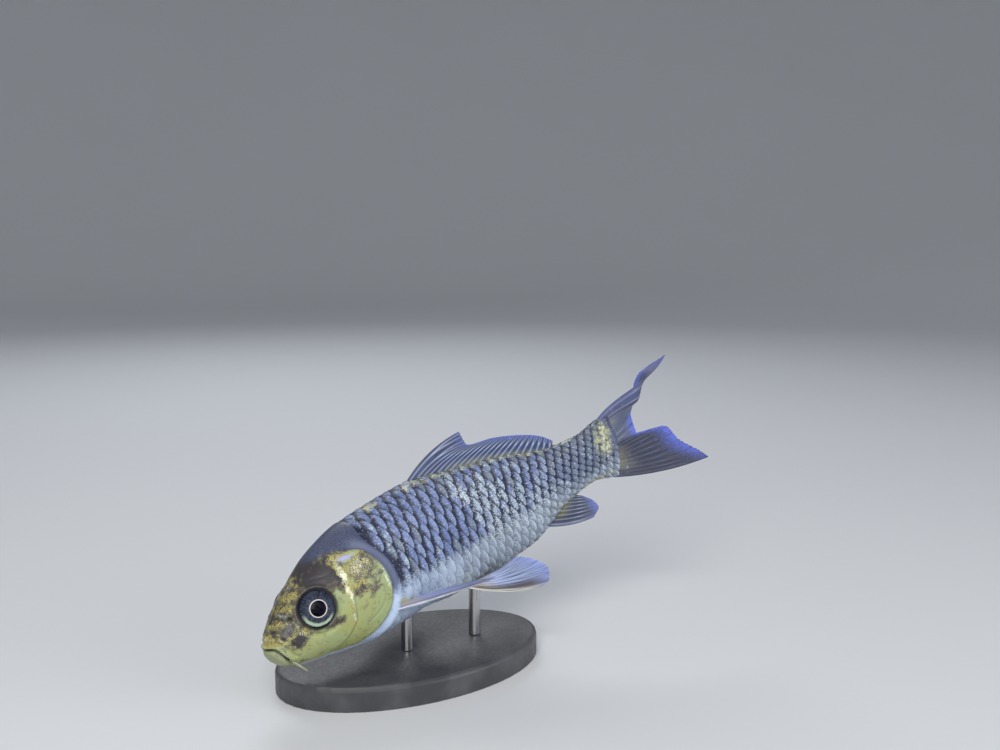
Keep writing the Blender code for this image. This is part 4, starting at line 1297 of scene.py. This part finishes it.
def eyePiece(word, side):
    # one domed ball: pupil and iris are painted on its outer half
    mirror = np.array([1, side, 1])
    axis, centre = eyeAxis * mirror, np.array(eyeShape["centre"]) * mirror
    across = unit(np.cross(axis, [0, 0, 1.0]))
    up = np.cross(across, axis)
    tilt = np.linspace(0, math.pi, eyeLook["bands"] + 1)[1:-1]
    turn = np.linspace(0, 2 * math.pi, eyeLook["around"], endpoint=False)
    a, b = np.meshgrid(tilt, turn, indexing="ij")
    radius = eyeShape["radius"] * np.sin(a)
    flat = across * (radius * np.cos(b))[..., None] + up * (radius * np.sin(b))[..., None]
    dome = axis * (eyeShape["halfDepth"] * np.cos(a))[..., None]
    poles = [centre + axis * eyeShape["halfDepth"], centre - axis * eyeShape["halfDepth"]]
    straight = np.vstack([(centre + flat + dome).reshape(-1, 3), *poles])
    share = np.concatenate([np.where(a > math.pi / 2, 1.0, np.sin(a)).ravel(), [0, 1.0]])
    down = np.concatenate([-np.sin(b - math.radians(eyeLook["tilt"])).ravel(), [0, 0]])
    angle = np.concatenate([b.ravel(), [0, 0]])
    values = {
        "eyeSpot": np.stack([share, down, 0 * share], -1),
        "fibreSpot": np.stack([np.cos(angle) * 14, np.sin(angle) * 14, share * 3], -1),
        "fishSpot": straight,
    }
    return faceOutwards(meshPiece("eye_ball_" + word, onFish(straight), tubeFaces(*a.shape), koiEye, values))


for word, side in (("left", -1), ("right", 1)):
    eye = eyePiece(word, side)
    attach(eye, "root")
    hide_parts("eye_" + word)
print("eyes made")

standLook = {
    "satin": ((0.030, 0.031, 0.035, 1), (0.060, 0.061, 0.066, 1)),
    "steel": ((0.40, 0.40, 0.41, 1), (0.560, 0.560, 0.570, 1)),
}


def standMaterials():
    satin, tree, shader = newMaterial("standSatin")
    spot = addNode(tree, "ShaderNodeTexCoord", output="Object")
    grain = noise(spot, 900.0, 3.0, 0.6)
    dress(shader, {
        "Base Color": mixColour(ramp(noise(spot, 60.0, 3.0, 0.6), 0.35, 0.7), *standLook["satin"]),
        "Roughness": ramp(grain, 0.3, 0.7, 0.38, 0.56),
    }, grain, 0.25, 0.0001)
    steel, tree, shader = newMaterial("standSteel")
    spot = addNode(tree, "ShaderNodeTexCoord", output="Object")
    brushed = noise(addNode(tree, "ShaderNodeMapping", {"Vector": spot, "Scale": (900.0, 900.0, 40.0)}), 1.0, 2.0, 0.6)
    dress(shader, {
        "Base Color": mixColour(ramp(brushed, 0.3, 0.7), *standLook["steel"]),
        "Roughness": ramp(brushed, 0.3, 0.7, 0.22, 0.38), "Metallic": 1.0,
    }, brushed, 0.15, 0.0001)
    return satin, steel


standSatin, standSteel = standMaterials()
for name in ("stand_base", "stand_rod_front", "stand_rod_rear"):
    for slot in bpy.data.objects[name].material_slots:
        slot.material = standSatin if name == "stand_base" else standSteel

studio = {
    "floorColour": (0.540, 0.550, 0.565), "floorRadius": 1.3, "wallRadius": 2.6, "wallHeight": 1.9,
    "around": 72,
    "world": (0.80, 0.86, 0.95, 1), "worldStrength": 0.36,
    # name, place, where it points, size, power, colour
    "lights": (
        ("key", (-0.50, -0.66, 0.62), (0.0, 0.0, 0.07), 0.50, 11.5, (1.0, 0.98, 0.95)),
        ("fill", (0.60, -0.85, 0.30), (0.0, 0.0, 0.06), 0.70, 6.0, (0.90, 0.93, 1.0)),
        ("rim", (0.25, 0.75, 0.75), (0.0, 0.0, 0.07), 0.50, 4.0, (0.92, 0.95, 1.0)),
    ),
}


def floorPiece():
    # a flat disc that bends up into a wall
    flat, height, around = studio["floorRadius"], studio["wallHeight"], studio["around"]
    spread = studio["wallRadius"] - flat
    profile = [(flat * 0.25, 0.0), (flat * 0.6, 0.0)]
    for a in np.linspace(0, math.pi / 2, 14):
        profile.append((flat + spread * math.sin(a), height * (1 - math.cos(a))))
    turn = np.linspace(0, 2 * math.pi, around, endpoint=False)
    points = [(r * math.cos(a), r * math.sin(a), z) for r, z in profile for a in turn] + [(0, 0, 0)]
    faces = gridFaces(len(profile), around, closed=True, turned=True)
    faces += [(len(points) - 1, i, (i + 1) % around) for i in range(around)]
    material, tree, shader = newMaterial("studioFloor")
    cloud = noise(addNode(tree, "ShaderNodeTexCoord", output="Object"), 4.0, 2.0)
    light = studio["floorColour"]
    dress(shader, {
        "Base Color": mixColour(cloud, light + (1,), tuple(c * 0.96 for c in light) + (1,)), "Roughness": 0.75,
    })
    return meshPiece("studio_floor", points, faces, material)


floorPiece()
world = bpy.data.worlds.new("studioWorld")
world.use_nodes = True
background = world.node_tree.nodes["Background"]
background.inputs["Color"].default_value = studio["world"]
background.inputs["Strength"].default_value = studio["worldStrength"]
bpy.context.scene.world = world
bpy.context.scene.view_settings.view_transform = "Standard"
for name, place, target, size, power, colour in studio["lights"]:
    lamp = bpy.data.lights.new(name, "AREA")
    lamp.size = size
    lamp.energy = power
    lamp.color = colour
    lampObject = addObject(name, lamp)
    lampObject.location = place
    lampObject.rotation_euler = (Vector(target) - Vector(place)).to_track_quat("-Z", "Y").to_euler()

cameraView = {"place": (-0.16652, -0.31336, 0.14912), "turn": (82.0, 0.0, -32.8), "lens": 39.6, "sensor": 36.0}
camera = bpy.data.cameras.new("camera")
camera.lens = cameraView["lens"]
camera.sensor_width = cameraView["sensor"]
camera.clip_start = 0.01
cameraObject = addObject("camera", camera)
cameraObject.location = cameraView["place"]
cameraObject.rotation_euler = [math.radians(a) for a in cameraView["turn"]]
bpy.context.scene.camera = cameraObject
print("studio and camera ready")
